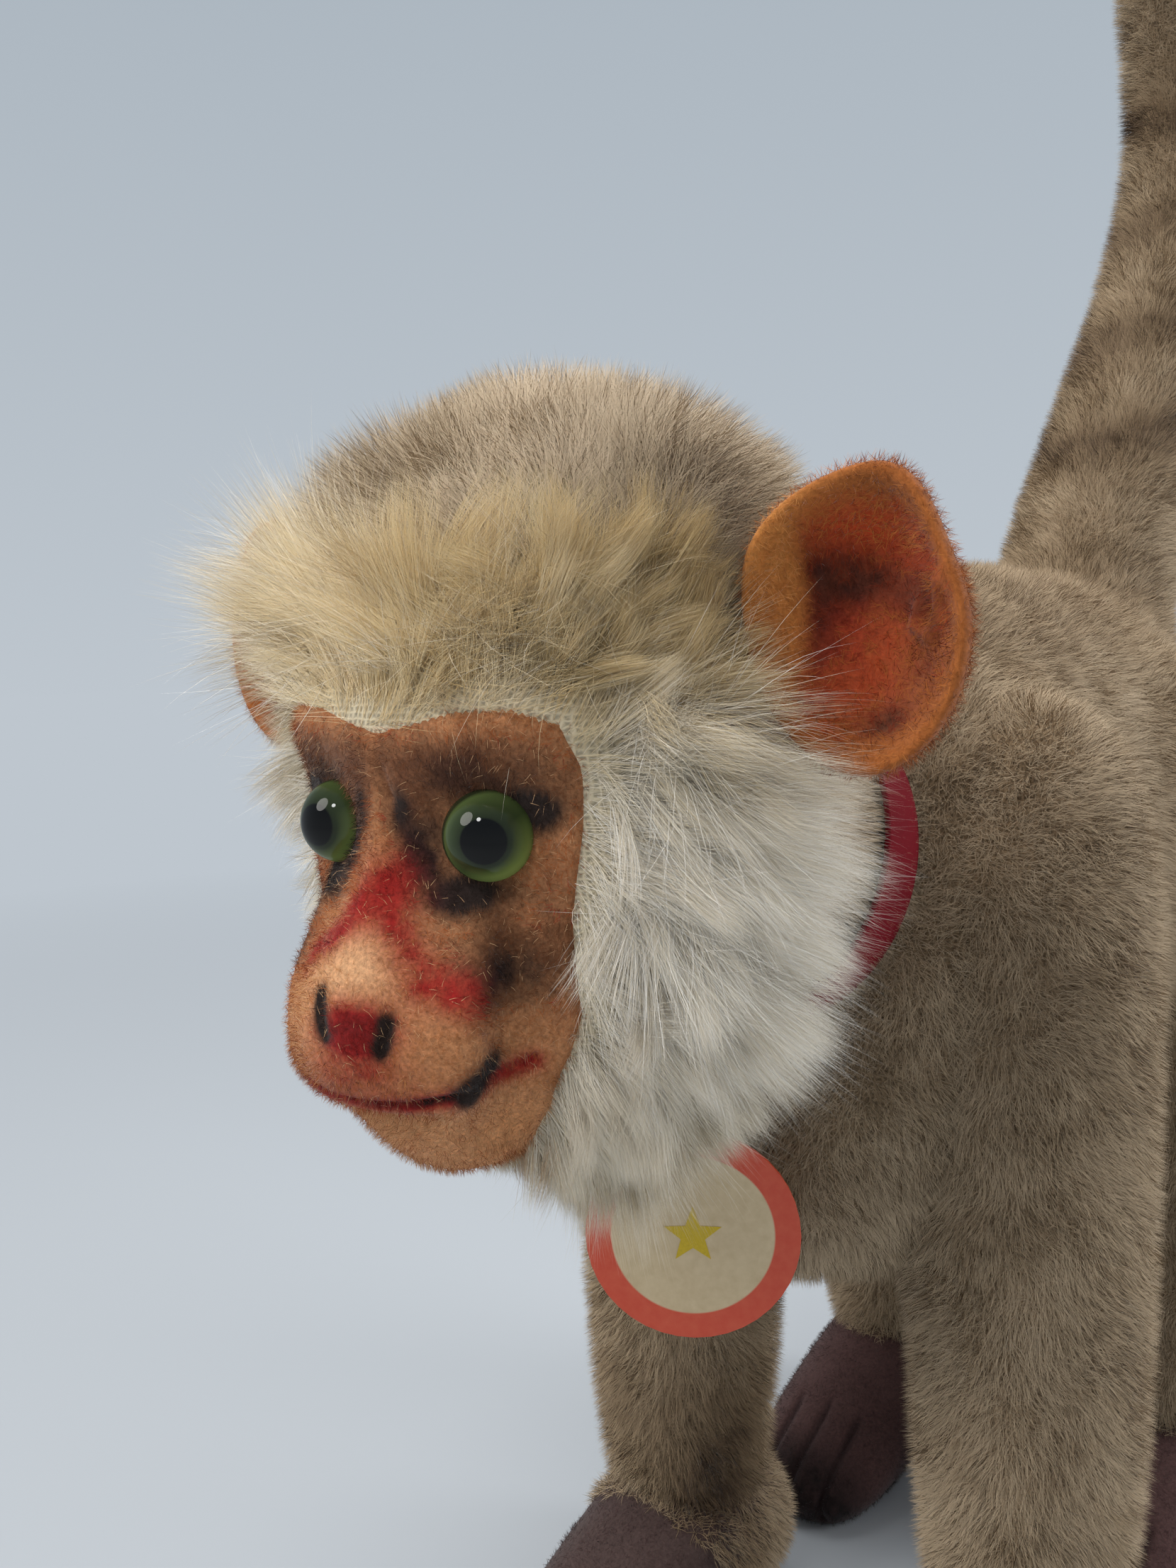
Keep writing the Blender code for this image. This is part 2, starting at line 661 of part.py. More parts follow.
def face_outline(name, wider):
    """A prism on the face's outline, seen from the front, running back to FACE_BACK_Y."""
    half = FACE_HALF_WIDTH + wider
    top = FACE_TOP_Z + wider
    low = FACE_BOTTOM_Z - wider
    right = [
        (0.0, top),
        (half * 0.45, top - 0.0003),
        (half * 0.78, top - 0.0012),
        (half * 0.93, top - 0.0035),
        (half, EYE_Z - 0.0010),
        (half * 0.97, EYE_Z - 0.0150),
        (half * 0.86, low + 0.0160),
        (half * 0.64, low + 0.0065),
        (half * 0.32, low + 0.0015),
        (0.0, low),
    ]
    outline = right + [(-x, z) for x, z in reversed(right[1:-1])]
    curve = bpy.data.curves.new(name, "CURVE")
    curve.dimensions = "2D"
    curve.fill_mode = "BOTH"
    reach = 0.040
    curve.extrude = reach / 2
    spline = curve.splines.new("POLY")
    spline.points.add(len(outline) - 1)
    for place, (x, z) in zip(spline.points, outline):
        place.co = (x, z, 0.0, 1.0)
    spline.use_cyclic_u = True
    guide = bpy.data.objects.new(name + "_guide", curve)
    CUTTERS.objects.link(guide)
    back = HEAD.y + FACE_BACK_Y + wider
    frame = Matrix.Translation((0.0, back - reach / 2, HEAD.z)) @ Matrix.Rotation(pi / 2, 4, "X")
    graph = bpy.context.evaluated_depsgraph_get()
    mesh = bpy.data.meshes.new_from_object(guide.evaluated_get(graph))
    bpy.data.objects.remove(guide, do_unlink=True)
    bm = bmesh.new()
    bm.from_mesh(mesh)
    bmesh.ops.remove_doubles(bm, verts=bm.verts, dist=0.00001)
    bpy.data.meshes.remove(mesh)
    obj = finish_mesh(name, bm, smooth=False)
    obj.matrix_world = frame
    return obj


def eye_frame(side):
    place = HEAD + Vector((side * EYE_X, EYE_Y, EYE_Z))
    turn = Matrix.Rotation(side * EYE_TURN, 4, "Z") @ Matrix.Rotation(pi / 2, 4, "X")
    return Matrix.Translation(place) @ turn


def eye_wire_path(side):
    """A hairpin of wire from the back of the eye into the head, along the eye's own axis."""
    apart = PUPIL_RADIUS - 3 * EYE_WIRE_RADIUS
    start = -EYE_RADIUS * 0.55 - GAP - EYE_WIRE_RADIUS
    end = start - EYE_WIRE_LENGTH
    points = [(apart, start), (apart, end + apart)]
    for i in range(1, 4):
        angle = pi * i / 4
        points.append((apart * cos(angle), end + apart - apart * sin(angle)))
    points += [(-apart, end + apart), (-apart, start)]
    return [eye_frame(side) @ Vector((x, 0.0, z)) for x, z in points]


def make_eye(side, word):
    """A glass dome with a flat back, the black pupil set in that back and the wire behind it."""
    flat = -EYE_RADIUS * 0.55
    bm = bmesh.new()
    bmesh.ops.create_uvsphere(bm, u_segments=16, v_segments=10, radius=EYE_RADIUS)
    glass = finish_mesh("eye_" + word, bm, "eye_glass")
    glass.matrix_world = eye_frame(side)
    behind = cylinder("behind_eye_" + word, eye_frame(side), EYE_RADIUS * 1.2, -EYE_RADIUS * 2, flat)
    room = cylinder(
        "pupil_room_" + word,
        eye_frame(side),
        PUPIL_RADIUS + GAP,
        flat - 0.001,
        flat + PUPIL_THICKNESS + GAP,
        segments=12,
    )
    boolean(glass, behind)
    boolean(glass, room)
    cylinder(
        "pupil_" + word, eye_frame(side), PUPIL_RADIUS, flat, flat + PUPIL_THICKNESS, "black_glass", 12
    )
    wire("eye_wire_" + word, eye_wire_path(side), EYE_WIRE_RADIUS, "steel", resolution=1)
    channel = wire("eye_channel_" + word, eye_wire_path(side), EYE_WIRE_RADIUS + GAP, resolution=1)
    bm = bmesh.new()
    bmesh.ops.create_uvsphere(bm, u_segments=16, v_segments=10, radius=EYE_RADIUS + GAP)
    socket = finish_mesh("eye_socket_" + word, bm)
    socket.matrix_world = eye_frame(side)
    return socket, channel


def make_ear(side, word, head_outside):
    """A cupped felt ear: the lower part of an ellipsoid, open to the front, thickened outwards."""
    bm = bmesh.new()
    bmesh.ops.create_uvsphere(bm, u_segments=16, v_segments=10, radius=1.0)
    over = [vert for vert in bm.verts if vert.co.z > 0.01]
    bmesh.ops.delete(bm, geom=over, context="VERTS")
    bmesh.ops.scale(bm, vec=(EAR_HALF_WIDTH, EAR_HALF_HEIGHT, EAR_DEPTH), verts=bm.verts)
    obj = finish_mesh("ear_" + word, bm, "ear_felt")
    outward = side * (EAR_TIP_X - EAR_HALF_WIDTH * cos(EAR_TURN))
    place = HEAD + Vector((outward, EAR_Y, EAR_Z))
    turn = Matrix.Rotation(side * EAR_TURN, 4, "Z") @ Matrix.Rotation(pi / 2, 4, "X")
    obj.matrix_world = Matrix.Translation(place) @ turn
    thicken = obj.modifiers.new("Felt", "SOLIDIFY")
    thicken.thickness = EAR_FELT
    thicken.offset = -1.0
    boolean(obj, head_outside)
    return obj


def make_head():
    """Head cover, forehead band, cheek ruffs and felt face as patches of one skin over the stuffing."""
    head = head_sections()
    hollow = loft("head_hollow", head, INNER_SIDES, None, -BACKING, True)
    seam = HEAD + Vector((0.0, MANE_BACK_Y, 0.0))
    tilt = Matrix.Rotation(MANE_TILT, 4, "X")

    def front_block(name, wider):
        """What lies before the seam over the ears and under the band's top edge, made wider all round."""
        block = box(name, (-REACH, -REACH, -REACH), (REACH, wider, BAND_TOP_Z + wider))
        block.matrix_world = Matrix.Translation(seam) @ tilt
        return block

    front = front_block("mane_side", -GAP / 2)
    not_crown = front_block("not_crown", GAP / 2)
    seam_z = HEAD.z + MANE_SEAM_Z
    above = box("above_brow", (-REACH, -REACH, seam_z), (REACH, REACH, REACH))
    below = {
        "left": box("below_brow_left", (GAP / 2, -REACH, -REACH), (REACH, REACH, seam_z - GAP)),
        "right": box("below_brow_right", (-REACH, -REACH, -REACH), (-GAP / 2, REACH, seam_z - GAP)),
    }
    face_room = face_outline("face_room", GAP)
    pieces = {
        "forehead_band": ("long_mohair", (front, above)),
        "cheek_ruff_left": ("long_mohair", (front, below["left"])),
        "cheek_ruff_right": ("long_mohair", (front, below["right"])),
        "head_cover": ("crown_mohair", ()),
    }
    for name, (slot, kept) in pieces.items():
        piece = loft(name, head, BODY_SIDES, slot, HEAD_PILE, True)
        boolean(piece, hollow)
        for region in kept:
            boolean(piece, region, "INTERSECT")
        if name != "head_cover":
            boolean(piece, face_room)
        else:
            boolean(piece, not_crown)
            boolean(
                piece,
                cylinder("pin_bore_head", neck_frame(0.0), 2 * PIN_WIRE_RADIUS + 2 * GAP, -0.002, 0.006),
            )
    face = loft("face_mask", head, BODY_SIDES, "face_felt", 0.0, True)
    boolean(face, hollow)
    boolean(face, face_outline("face_cut", 0.0), "INTERSECT")
    stuffing = loft("head_stuffing", head, INNER_SIDES, "wood_wool", -BACKING - FILL_GAP, True)
    boolean(stuffing, neck_room("neck_room_head", 1))
    outside = loft("head_outside", head, BODY_SIDES, None, HEAD_PILE + GAP, True)
    for side, word in ((1, "left"), (-1, "right")):
        socket, channel = make_eye(side, word)
        for piece in (face, stuffing):
            boolean(piece, socket)
        boolean(stuffing, channel)
        make_ear(side, word, outside)


def collar_seat():
    """The groove that the collar presses into the pile of the neck."""
    inner = COLLAR_RADIUS - GAP
    half = COLLAR_WIDTH / 2 + GAP
    return flat_ring("collar_seat", neck_frame(-COLLAR_SETBACK), inner, COLLAR_RADIUS * 1.6, -half, half)


def make_collar():
    """A soft strap that laps over its own start under the neck, and the rivet through both layers."""
    lap = COLLAR_THICKNESS + GAP
    first = -pi / 2 - COLLAR_OVERLAP / 2
    count = 40
    points = []
    for i in range(count + 1):
        share = i / count
        angle = first + (tau + COLLAR_OVERLAP) * share
        over = max(0.0, (share - 0.85) / 0.10)
        radius = COLLAR_RADIUS + COLLAR_THICKNESS / 2 + lap * min(1.0, over)
        points.append((radius * cos(angle), radius * sin(angle)))
    curve = bpy.data.curves.new("collar_strap", "CURVE")
    curve.dimensions = "2D"
    curve.fill_mode = "NONE"
    curve.extrude = COLLAR_WIDTH / 2
    spline = curve.splines.new("POLY")
    spline.points.add(count)
    for place, (x, y) in zip(spline.points, points):
        place.co = (x, y, 0.0, 1.0)
    guide = bpy.data.objects.new("collar_guide", curve)
    CUTTERS.objects.link(guide)
    graph = bpy.context.evaluated_depsgraph_get()
    mesh = bpy.data.meshes.new_from_object(guide.evaluated_get(graph))
    bpy.data.objects.remove(guide, do_unlink=True)
    bm = bmesh.new()
    bm.from_mesh(mesh)
    bmesh.ops.remove_doubles(bm, verts=bm.verts, dist=0.00001)
    bpy.data.meshes.remove(mesh)
    strap = finish_mesh("collar_strap", bm, "collar_cloth")
    frame = neck_frame(-COLLAR_SETBACK)
    strap.matrix_world = frame
    thicken = strap.modifiers.new("Cloth", "SOLIDIFY")
    thicken.thickness = COLLAR_THICKNESS
    thicken.offset = 0.0
    shaft_high = COLLAR_RADIUS + 2 * COLLAR_THICKNESS + 2 * GAP
    outward = frame @ Matrix.Rotation(pi / 2, 4, "X")
    hole = cylinder("rivet_hole", outward, RIVET_RADIUS + GAP, COLLAR_RADIUS * 0.8, COLLAR_RADIUS * 1.3)
    boolean(strap, hole)
    rivet = turned(
        "collar_rivet",
        outward,
        [
            (0.0, shaft_high + RIVET_HEAD_THICKNESS),
            (RIVET_HEAD_RADIUS, shaft_high + RIVET_HEAD_THICKNESS),
            (RIVET_HEAD_RADIUS, shaft_high),
            (RIVET_RADIUS, shaft_high),
            (RIVET_RADIUS, COLLAR_RADIUS),
            (0.0, COLLAR_RADIUS),
        ],
        "brass",
    )
    return strap, rivet


def thread_anchor():
    """The point under the body's end of the neck where the thread comes out."""
    under = on_neck(-THREAD_SETBACK) - NECK_UP * (NECK_RADIUS + BODY_PILE - NECK_LIP_ROUNDING)
    return Vector((TAG_X, under.y, under.z - GAP))


def tag_frame():
    """The tag's own frame: Z out of its face, Y up."""
    centre = thread_anchor()
    centre.z = TAG_Z
    return Matrix.Translation(centre) @ Matrix.Rotation(TAG_TURN, 4, "Z") @ Matrix.Rotation(pi / 2, 4, "X")


def tag_hole_height():
    return TAG_RADIUS - TAG_HOLE_INSET


def thread_top():
    return thread_anchor().z - TAG_Z


def make_tag():
    """The round card with its hole, and the loop of thread that comes out of the chest through it."""
    frame = tag_frame()
    card = cylinder(
        "chest_tag", frame, TAG_RADIUS, -TAG_THICKNESS / 2, TAG_THICKNESS / 2, "tag_card", 40
    )
    hole_frame = frame @ Matrix.Translation((0.0, tag_hole_height(), 0.0))
    boolean(card, cylinder("tag_hole", hole_frame, TAG_HOLE_RADIUS, -0.002, 0.002, segments=16))
    half_gap = TAG_THICKNESS / 2 + GAP + THREAD_RADIUS
    low = tag_hole_height()
    high = thread_top()
    points = []
    for i in range(5):
        angle = pi * i / 4
        points.append((low + half_gap * 0.4 - half_gap * sin(angle) * 0.4, half_gap * cos(angle)))
    for share in (0.35, 0.75):
        points.append((low + (high - low) * share, -half_gap))
    for i in range(5):
        angle = pi * i / 4
        points.append((high - half_gap + half_gap * sin(angle), -half_gap * cos(angle)))
    for share in (0.75, 0.35):
        points.append((low + (high - low) * share, half_gap))
    places = [frame @ Vector((0.0, up, out)) for up, out in points]
    wire("tag_thread", places, THREAD_RADIUS, "thread", True, 1)


def add_empty(name, place, parent=None):
    empty = bpy.data.objects.new(name, None)
    PARTS.objects.link(empty)
    empty.location = place
    empty.empty_display_size = 0.01
    if parent:
        empty.parent = parent
        empty.location = place - parent.location
    return empty


def hold(obj, empty, where):
    obj.parent = empty
    obj.matrix_parent_inverse = Matrix.Translation(where).inverted()


def assemble():
    """Every piece hangs on the empty of its joint, and the whole stands at its box's bottom centre."""
    groups = {
        "collar_joint": on_neck(-COLLAR_SETBACK),
        "head_joint": NECK_POINT.copy(),
        "tag_loop_joint": tag_frame() @ Vector((0.0, thread_top(), 0.0)),
        "tag_joint": tag_frame() @ Vector((0.0, tag_hole_height(), 0.0)),
    }
    members = {
        "collar_joint": ("collar_strap", "collar_rivet"),
        "head_joint": (
            "head_cover",
            "head_stuffing",
            "face_mask",
            "forehead_band",
            "cheek_ruff_left",
            "cheek_ruff_right",
            "neck_disc_head",
            "washer_head",
            "split_pin",
            *(f"{part}_{word}" for part in ("ear", "eye", "pupil", "eye_wire") for word in ("left", "right")),
        ),
        "tag_loop_joint": ("tag_thread",),
        "tag_joint": ("chest_tag",),
    }
    bpy.context.view_layer.update()
    graph = bpy.context.evaluated_depsgraph_get()
    corners = []
    for obj in PARTS.objects:
        if obj.type == "MESH":
            solid = obj.evaluated_get(graph)
            corners += [solid.matrix_world @ Vector(corner) for corner in solid.bound_box]
    low = Vector([min(corner[i] for corner in corners) for i in range(3)])
    high = Vector([max(corner[i] for corner in corners) for i in range(3)])
    root = add_empty("baboon_root", Vector((0.0, 0.0, 0.0)))
    empties = {name: add_empty(name, place, root) for name, place in groups.items()}
    owner = {piece: name for name, pieces in members.items() for piece in pieces}
    for obj in [*PARTS.objects, *CUTTERS.objects]:
        if obj.type != "MESH":
            continue
        joint = owner.get(obj.name)
        if joint:
            hold(obj, empties[joint], groups[joint])
        else:
            hold(obj, root, Vector((0.0, 0.0, 0.0)))
    shift = Vector((-(low.x + high.x) / 2, -(low.y + high.y) / 2, -low.z))
    root.location = shift
    for name, place in groups.items():
        print(name, [round(value, 5) for value in place + shift])
    print("shift", [round(value, 5) for value in shift])


make_neck_hardware()
make_body(make_wires())
make_head()
make_collar()
make_tag()
assemble()
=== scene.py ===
"""The looks of the stuffed baboon: mohair of real strands, painted felt, glass eyes, collar and card tag.

Sizes, sections, paths and lengths are in millimetres. Points of forms and roots of fibres are in metres.
"""

import itertools
import json
import math
from functools import partial

import bpy
import numpy as np
from mathutils import Matrix, Vector
from mathutils.bvhtree import BVHTree


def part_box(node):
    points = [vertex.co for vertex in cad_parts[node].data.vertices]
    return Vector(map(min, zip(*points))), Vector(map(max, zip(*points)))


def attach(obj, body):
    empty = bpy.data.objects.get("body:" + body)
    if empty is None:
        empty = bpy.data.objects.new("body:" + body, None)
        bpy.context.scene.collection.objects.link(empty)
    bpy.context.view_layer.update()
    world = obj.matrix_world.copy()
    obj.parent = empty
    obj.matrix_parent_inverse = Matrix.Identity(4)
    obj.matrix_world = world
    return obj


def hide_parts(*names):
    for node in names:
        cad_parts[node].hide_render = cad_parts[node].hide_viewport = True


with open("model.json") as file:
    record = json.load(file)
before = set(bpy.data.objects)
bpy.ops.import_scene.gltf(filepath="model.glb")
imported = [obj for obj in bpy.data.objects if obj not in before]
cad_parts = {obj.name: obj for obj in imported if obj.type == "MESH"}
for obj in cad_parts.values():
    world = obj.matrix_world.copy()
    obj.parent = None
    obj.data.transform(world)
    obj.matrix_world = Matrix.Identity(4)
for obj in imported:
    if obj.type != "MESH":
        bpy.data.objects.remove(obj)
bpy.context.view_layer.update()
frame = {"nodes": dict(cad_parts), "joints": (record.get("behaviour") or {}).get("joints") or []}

MM = 0.001
QUICK_SHARE = 1
SIDES = ((1, "left"), (-1, "right"))

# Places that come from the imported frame, in metres
JOINTS = {joint["name"]: joint for joint in frame["joints"]}
NECK = np.array(JOINTS["head_turn"]["pos_m"])
NECK_AXIS = np.array(JOINTS["head_turn"]["axis"])
NECK_UP = np.array((0, NECK_AXIS[2], -NECK_AXIS[1]))
COLLAR_CENTRE = np.array(JOINTS["collar_turn"]["pos_m"])
HEAD = NECK + np.array((0, -31.4, 10.2)) * MM

# Body sizes
FORE_Y = NECK[1] / MM + 42.6
HIND_Y = FORE_Y + 78
RUMP_Y = FORE_Y + 114
FORE_X = 33
HIND_X = 30
BACK_Z = 193.5
BELLY_Z = 79
TORSO_HALF_WIDTH = 36.5
FOREARM_RADIUS = 16.5
SHOULDER_RADIUS = 20.5
THIGH_RADIUS = 24
HEEL = 17.5
TOES = HEEL - 64
FOOT_HALF_WIDTH = 16.5
TOE_LINES = (-7, 0, 7)
CUFF_Z = 27
TAIL_Z = (166, 199, 222, 247, 271, 298, 319, 334, 340)
TAIL_BACK = (93, 114, 129, 144.5, 158, 164.5, 161, 151, 142)
TAIL_RADII = (18, 18, 16, 13.2, 11.1, 9.8, 10.8, 8.9, 5)

# Head sizes, from the head's own centre
CROWN = 49
JAW = -44.5
SKULL = 32.5
NOSE = -33.6
BROW = -25.2
MUZZLE = 13.6
EYE = (11.6, -21.2, -3.1)
EYE_SHIFT = (0.9, 0, 0.4)
PUPIL_SHIFT = 0.8
EYE_RADIUS = 4.95
EYE_TURNS = {1: math.radians(26), -1: math.radians(-6)}
EAR_CENTRE = (44.7, -2, 18.8)
EAR_TURN = math.radians(4)
EAR_RADII = (13.4, 15.6)
MANE_TILT = math.radians(12)
BAND_TOP = 27.5
FELT_END = -10
FACE_OUTLINE = (
    (0, 8), (5, 9), (10.5, 10.4), (16.5, 10.6), (20.6, 9), (21.8, 4.5), (21.4, -2.2), (20, -12),
    (19.6, -22.5), (17.8, -27), (14, -33.5), (9.6, -39), (5.4, -42.6), (0, -43.8),
)

# How much the solids' rings draw in when they are smoothed, and the depth of pile over the backing
WIDE_RING = 0.966
SLIM_RING = 0.925
PILE = 3

# The kinds of fibre by slot: roughness, gloss and how dark the root is, a painted shade among the fibres
FIBRE_KINDS = {
    "long_mohair": (0.28, 0.55, 0.95),
    "crown_mohair": (0.6, 0.3, 0.85),
    "mohair": (0.6, 0.25, 0.86),
    "face_felt": (0.85, 0.15, 0.95),
    "ear_felt": (0.85, 0.15, 0.95),
    "foot_felt": (0.85, 0.15, 0.95),
}


# Colours, as linear red, green and blue


def srgb(red, green, blue):
    """A colour given as it looks on screen, 0 to 255, as linear values."""
    values = np.array((red, green, blue)) / 255
    return np.where(values <= 0.04045, values / 12.92, ((values + 0.055) / 1.055) ** 2.4)


def rgba(colour):
    return (*colour, 1)


def palette(*colours):
    return np.array([srgb(*colour) for colour in colours])


# The shades that each kind of fibre comes in
SHADES = {
    "long_mohair": palette(
        (255, 251, 242), (242, 231, 209), (230, 210, 168), (216, 189, 136), (190, 158, 102), (144, 114, 72)
    ),
    "crown_mohair": palette(
        (232, 216, 192), (212, 192, 164), (188, 168, 140), (156, 136, 110), (106, 86, 66)
    ),
    "mohair": palette(
        (216, 197, 170), (196, 174, 144), (174, 151, 121), (150, 127, 99), (118, 96, 73), (74, 57, 44)
    ),
    "face_felt": palette(
        (222, 178, 134), (204, 148, 100), (188, 124, 76), (172, 96, 52), (160, 46, 36), (126, 27, 23),
        (118, 72, 46), (76, 47, 35), (40, 28, 24),
    ),
    "ear_felt": palette(
        (222, 156, 92), (196, 122, 62), (164, 94, 44), (172, 68, 34),
        (128, 48, 26), (84, 42, 28), (44, 28, 24),
    ),
    "foot_felt": palette((118, 98, 94), (94, 76, 73), (72, 53, 52), (44, 32, 32), (20, 16, 16)),
}
FELT_TAN = srgb(194, 136, 92)
PALE_TAN = srgb(222, 174, 130)
JAW_ORANGE = srgb(216, 152, 100)
PAINT_RED = srgb(150, 28, 25)
DARK_RED = srgb(96, 14, 16)
SOOT = srgb(40, 29, 25)
BROWN = srgb(100, 60, 38)
EAR_ORANGE = srgb(162, 94, 44)
WHITE_FUR = srgb(251, 243, 229)
STRAW_FUR = srgb(224, 196, 136)
TAUPE_FUR = srgb(196, 167, 133)
HAND_FELT = srgb(78, 62, 59)
FOOT_FELT = srgb(84, 60, 58)
HORIZON = srgb(190, 198, 206)
ZENITH = srgb(166, 177, 187)
FLOOR = srgb(190, 197, 204)


# Vectors and smooth fields


def unit(vectors):
    return vectors / np.maximum(np.linalg.norm(vectors, axis=-1, keepdims=True), 1e-12)


def soft_step(low, high, values):
    """0 below low, 1 above high, smooth between them. Low may be the larger one."""
    share = np.clip((values - low) / (high - low), 0, 1)
    return share * share * (3 - 2 * share)


def blob(points, centre, radii):
    """1 at the centre, fading over these radii, all in the same units as the points."""
    away = (points - np.array(centre)) / np.array(radii)
    return np.exp(-0.5 * np.sum(away * away, axis=-1))


def blend(first, second, share):
    """Colours that turn from the first into the second one."""
    return first + (second - first) * share[:, None]


def noise(points, size, seed):
    """Smooth noise from -1 to 1 that changes over this size."""
    place = points / (size * MM) + 31.7 * seed
    base = np.floor(place).astype(np.int64)
    part = place - base
    part = part * part * (3 - 2 * part)
    total = np.zeros(len(points))
    for corner in itertools.product((0, 1), repeat=3):
        cell = base + np.array(corner)
        mixed = cell[:, 0] * 73856093 ^ cell[:, 1] * 19349663 ^ cell[:, 2] * 83492791 ^ seed * 40503
        mixed = (mixed ^ (mixed >> 13)) * 1274126177
        value = ((mixed ^ (mixed >> 16)) & 0xFFFF) / 32767.5 - 1
        total += value * np.prod(np.where(corner, part, 1 - part), axis=1)
    return total


def noise_vector(points, size, seed):
    return np.stack([noise(points, size, seed + 101 * i) for i in range(3)], axis=1)


def uneven(colour, points, amount, size, seed):
    """The colour at each point, by this share lighter or darker in spots of this size."""
    return colour * (1 + amount * noise(points, size, seed))[:, None]


def path_distance(points, path):
    """Distance from each point to a broken line."""
    best = np.full(len(points), np.inf)
    path = np.array(path, float)
    for start, end in zip(path, path[1:]):
        along = end - start
        share = np.clip((points - start) @ along / (along @ along), 0, 1)
        best = np.minimum(best, np.linalg.norm(points - start - share[:, None] * along, axis=1))
    return best


def near_path(points, path, width):
    """1 on a broken line, fading over this width."""
    return np.exp(-((path_distance(points, path) / width) ** 2))


# Smooth skins through elliptic sections


def b_spline(values, index, share):
    """Smooth places near the given ones: a share of the way from index[1] to index[2]."""
    before, start, end, after = (values[i] for i in index)
    f = share[:, None]
    first = (1 - f) ** 3 * before + (3 * f**3 - 6 * f**2 + 4) * start
    return (first + (-3 * f**3 + 3 * f**2 + 3 * f + 1) * end + f**3 * after) / 6


def spline(values, count):
    """A smooth run of rows near the given ones, from the first to the last."""
    values = np.array(values, float)
    padded = np.concatenate([2 * values[:1] - values[1:2], values, 2 * values[-1:] - values[-2:-1]])
    place = np.linspace(0, len(values) - 1 - 1e-9, count)
    i = place.astype(int)
    return b_spline(padded, (i, i + 1, i + 2, i + 3), place - i)


def spline_round(points, count):
    """A smooth closed outline near the given points, with its start repeated at its end."""
    place = np.linspace(0, len(points), count + 1)
    i = place.astype(int)
    return b_spline(points, [(i + step) % len(points) for step in (-1, 0, 1, 2)], place - i)


def grid_normals(points):
    """Outward normals of a grid whose columns close into rings."""
    down = np.gradient(points, axis=0)
    ring = points[:, :-1]
    across = np.roll(ring, -1, axis=1) - np.roll(ring, 1, axis=1)
    across = np.concatenate([across, across[:, :1]], axis=1)
    normals = np.cross(down, across)
    normals[0] = normals[1].mean(axis=0)
    normals[-1] = normals[-2].mean(axis=0)
    return unit(normals)


def cell_size(points):
    """The area that each point of a grid stands for, roughly, as a last axis of one."""
    down = np.linalg.norm(np.gradient(points, axis=0), axis=2)
    across = np.linalg.norm(np.gradient(points, axis=1), axis=2)
    return (down * across)[:, :, None]


def corners(values):
    """The four corners of every cell of a grid."""
    return values[:-1, :-1], values[1:, :-1], values[1:, 1:], values[:-1, 1:]


class Skin:
    """A closed form as a grid of points: rows from end to end, columns round and back to the first."""

    def __init__(self, points):
        normals = grid_normals(points)
        if np.sum((points - points.reshape(-1, 3).mean(axis=0)) * normals * cell_size(points)) < 0:
            points = points[:, ::-1]
            normals = grid_normals(points)
        self.points = points
        self.normals = normals

    def moved(self, offset):
        """A copy whose points are moved out along the normals by offset(points), in millimetres."""
        flat = self.points.reshape(-1, 3)
        out = self.normals.reshape(-1, 3) * (offset(flat) * MM)[:, None]
        return Skin((flat + out).reshape(self.points.shape))

    def tree(self):
        """A search tree of the form, for telling what lies inside it."""
        rows, columns = self.points.shape[:2]
        index = np.arange(rows * columns).reshape(rows, columns)
        quads = np.stack(corners(index), axis=-1).reshape(-1, 4)
        return BVHTree.FromPolygons(self.points.reshape(-1, 3).tolist(), quads.tolist())

    def roots(self, density, mask, seed):
        """Random places on the form, this many to a square millimetre where mask(points) is 1."""
        random = np.random.default_rng(seed)
        one, two, three, four = corners(self.points)
        area = np.linalg.norm(np.cross(three - one, four - two), axis=2).reshape(-1) / 2 / MM**2
        weight = area * mask((one + two + three + four).reshape(-1, 3) / 4)
        count = int(weight.sum() * density * QUICK_SHARE)
        chosen = random.choice(len(weight), size=count, p=weight / weight.sum())
        across, down = random.random((2, count, 1))
        found = []
        for values in (self.points, self.normals):
            a, b, c, d = (part.reshape(-1, 3)[chosen] for part in corners(values))
            found.append((a * (1 - down) + b * down) * (1 - across) + (d * (1 - down) + c * down) * across)
        return found[0], unit(found[1])


def with_ends(values):
    """Rows of (middle y, middle z, arm y, arm z, half width) with both ends closed by a small dome."""
    ends = []
    for end, inner in ((0, 1), (-1, -2)):
        dome = values[end].copy()
        dome[:2] += unit(values[end, :2] - values[inner, :2]) * np.linalg.norm(values[end, 2:4]) * 0.22
        dome[2:] *= 0.6
        tip = dome * (1, 1, 0, 0, 0)
        ends.append([tip, dome])
    return np.concatenate([ends[0], values, ends[1][::-1]])


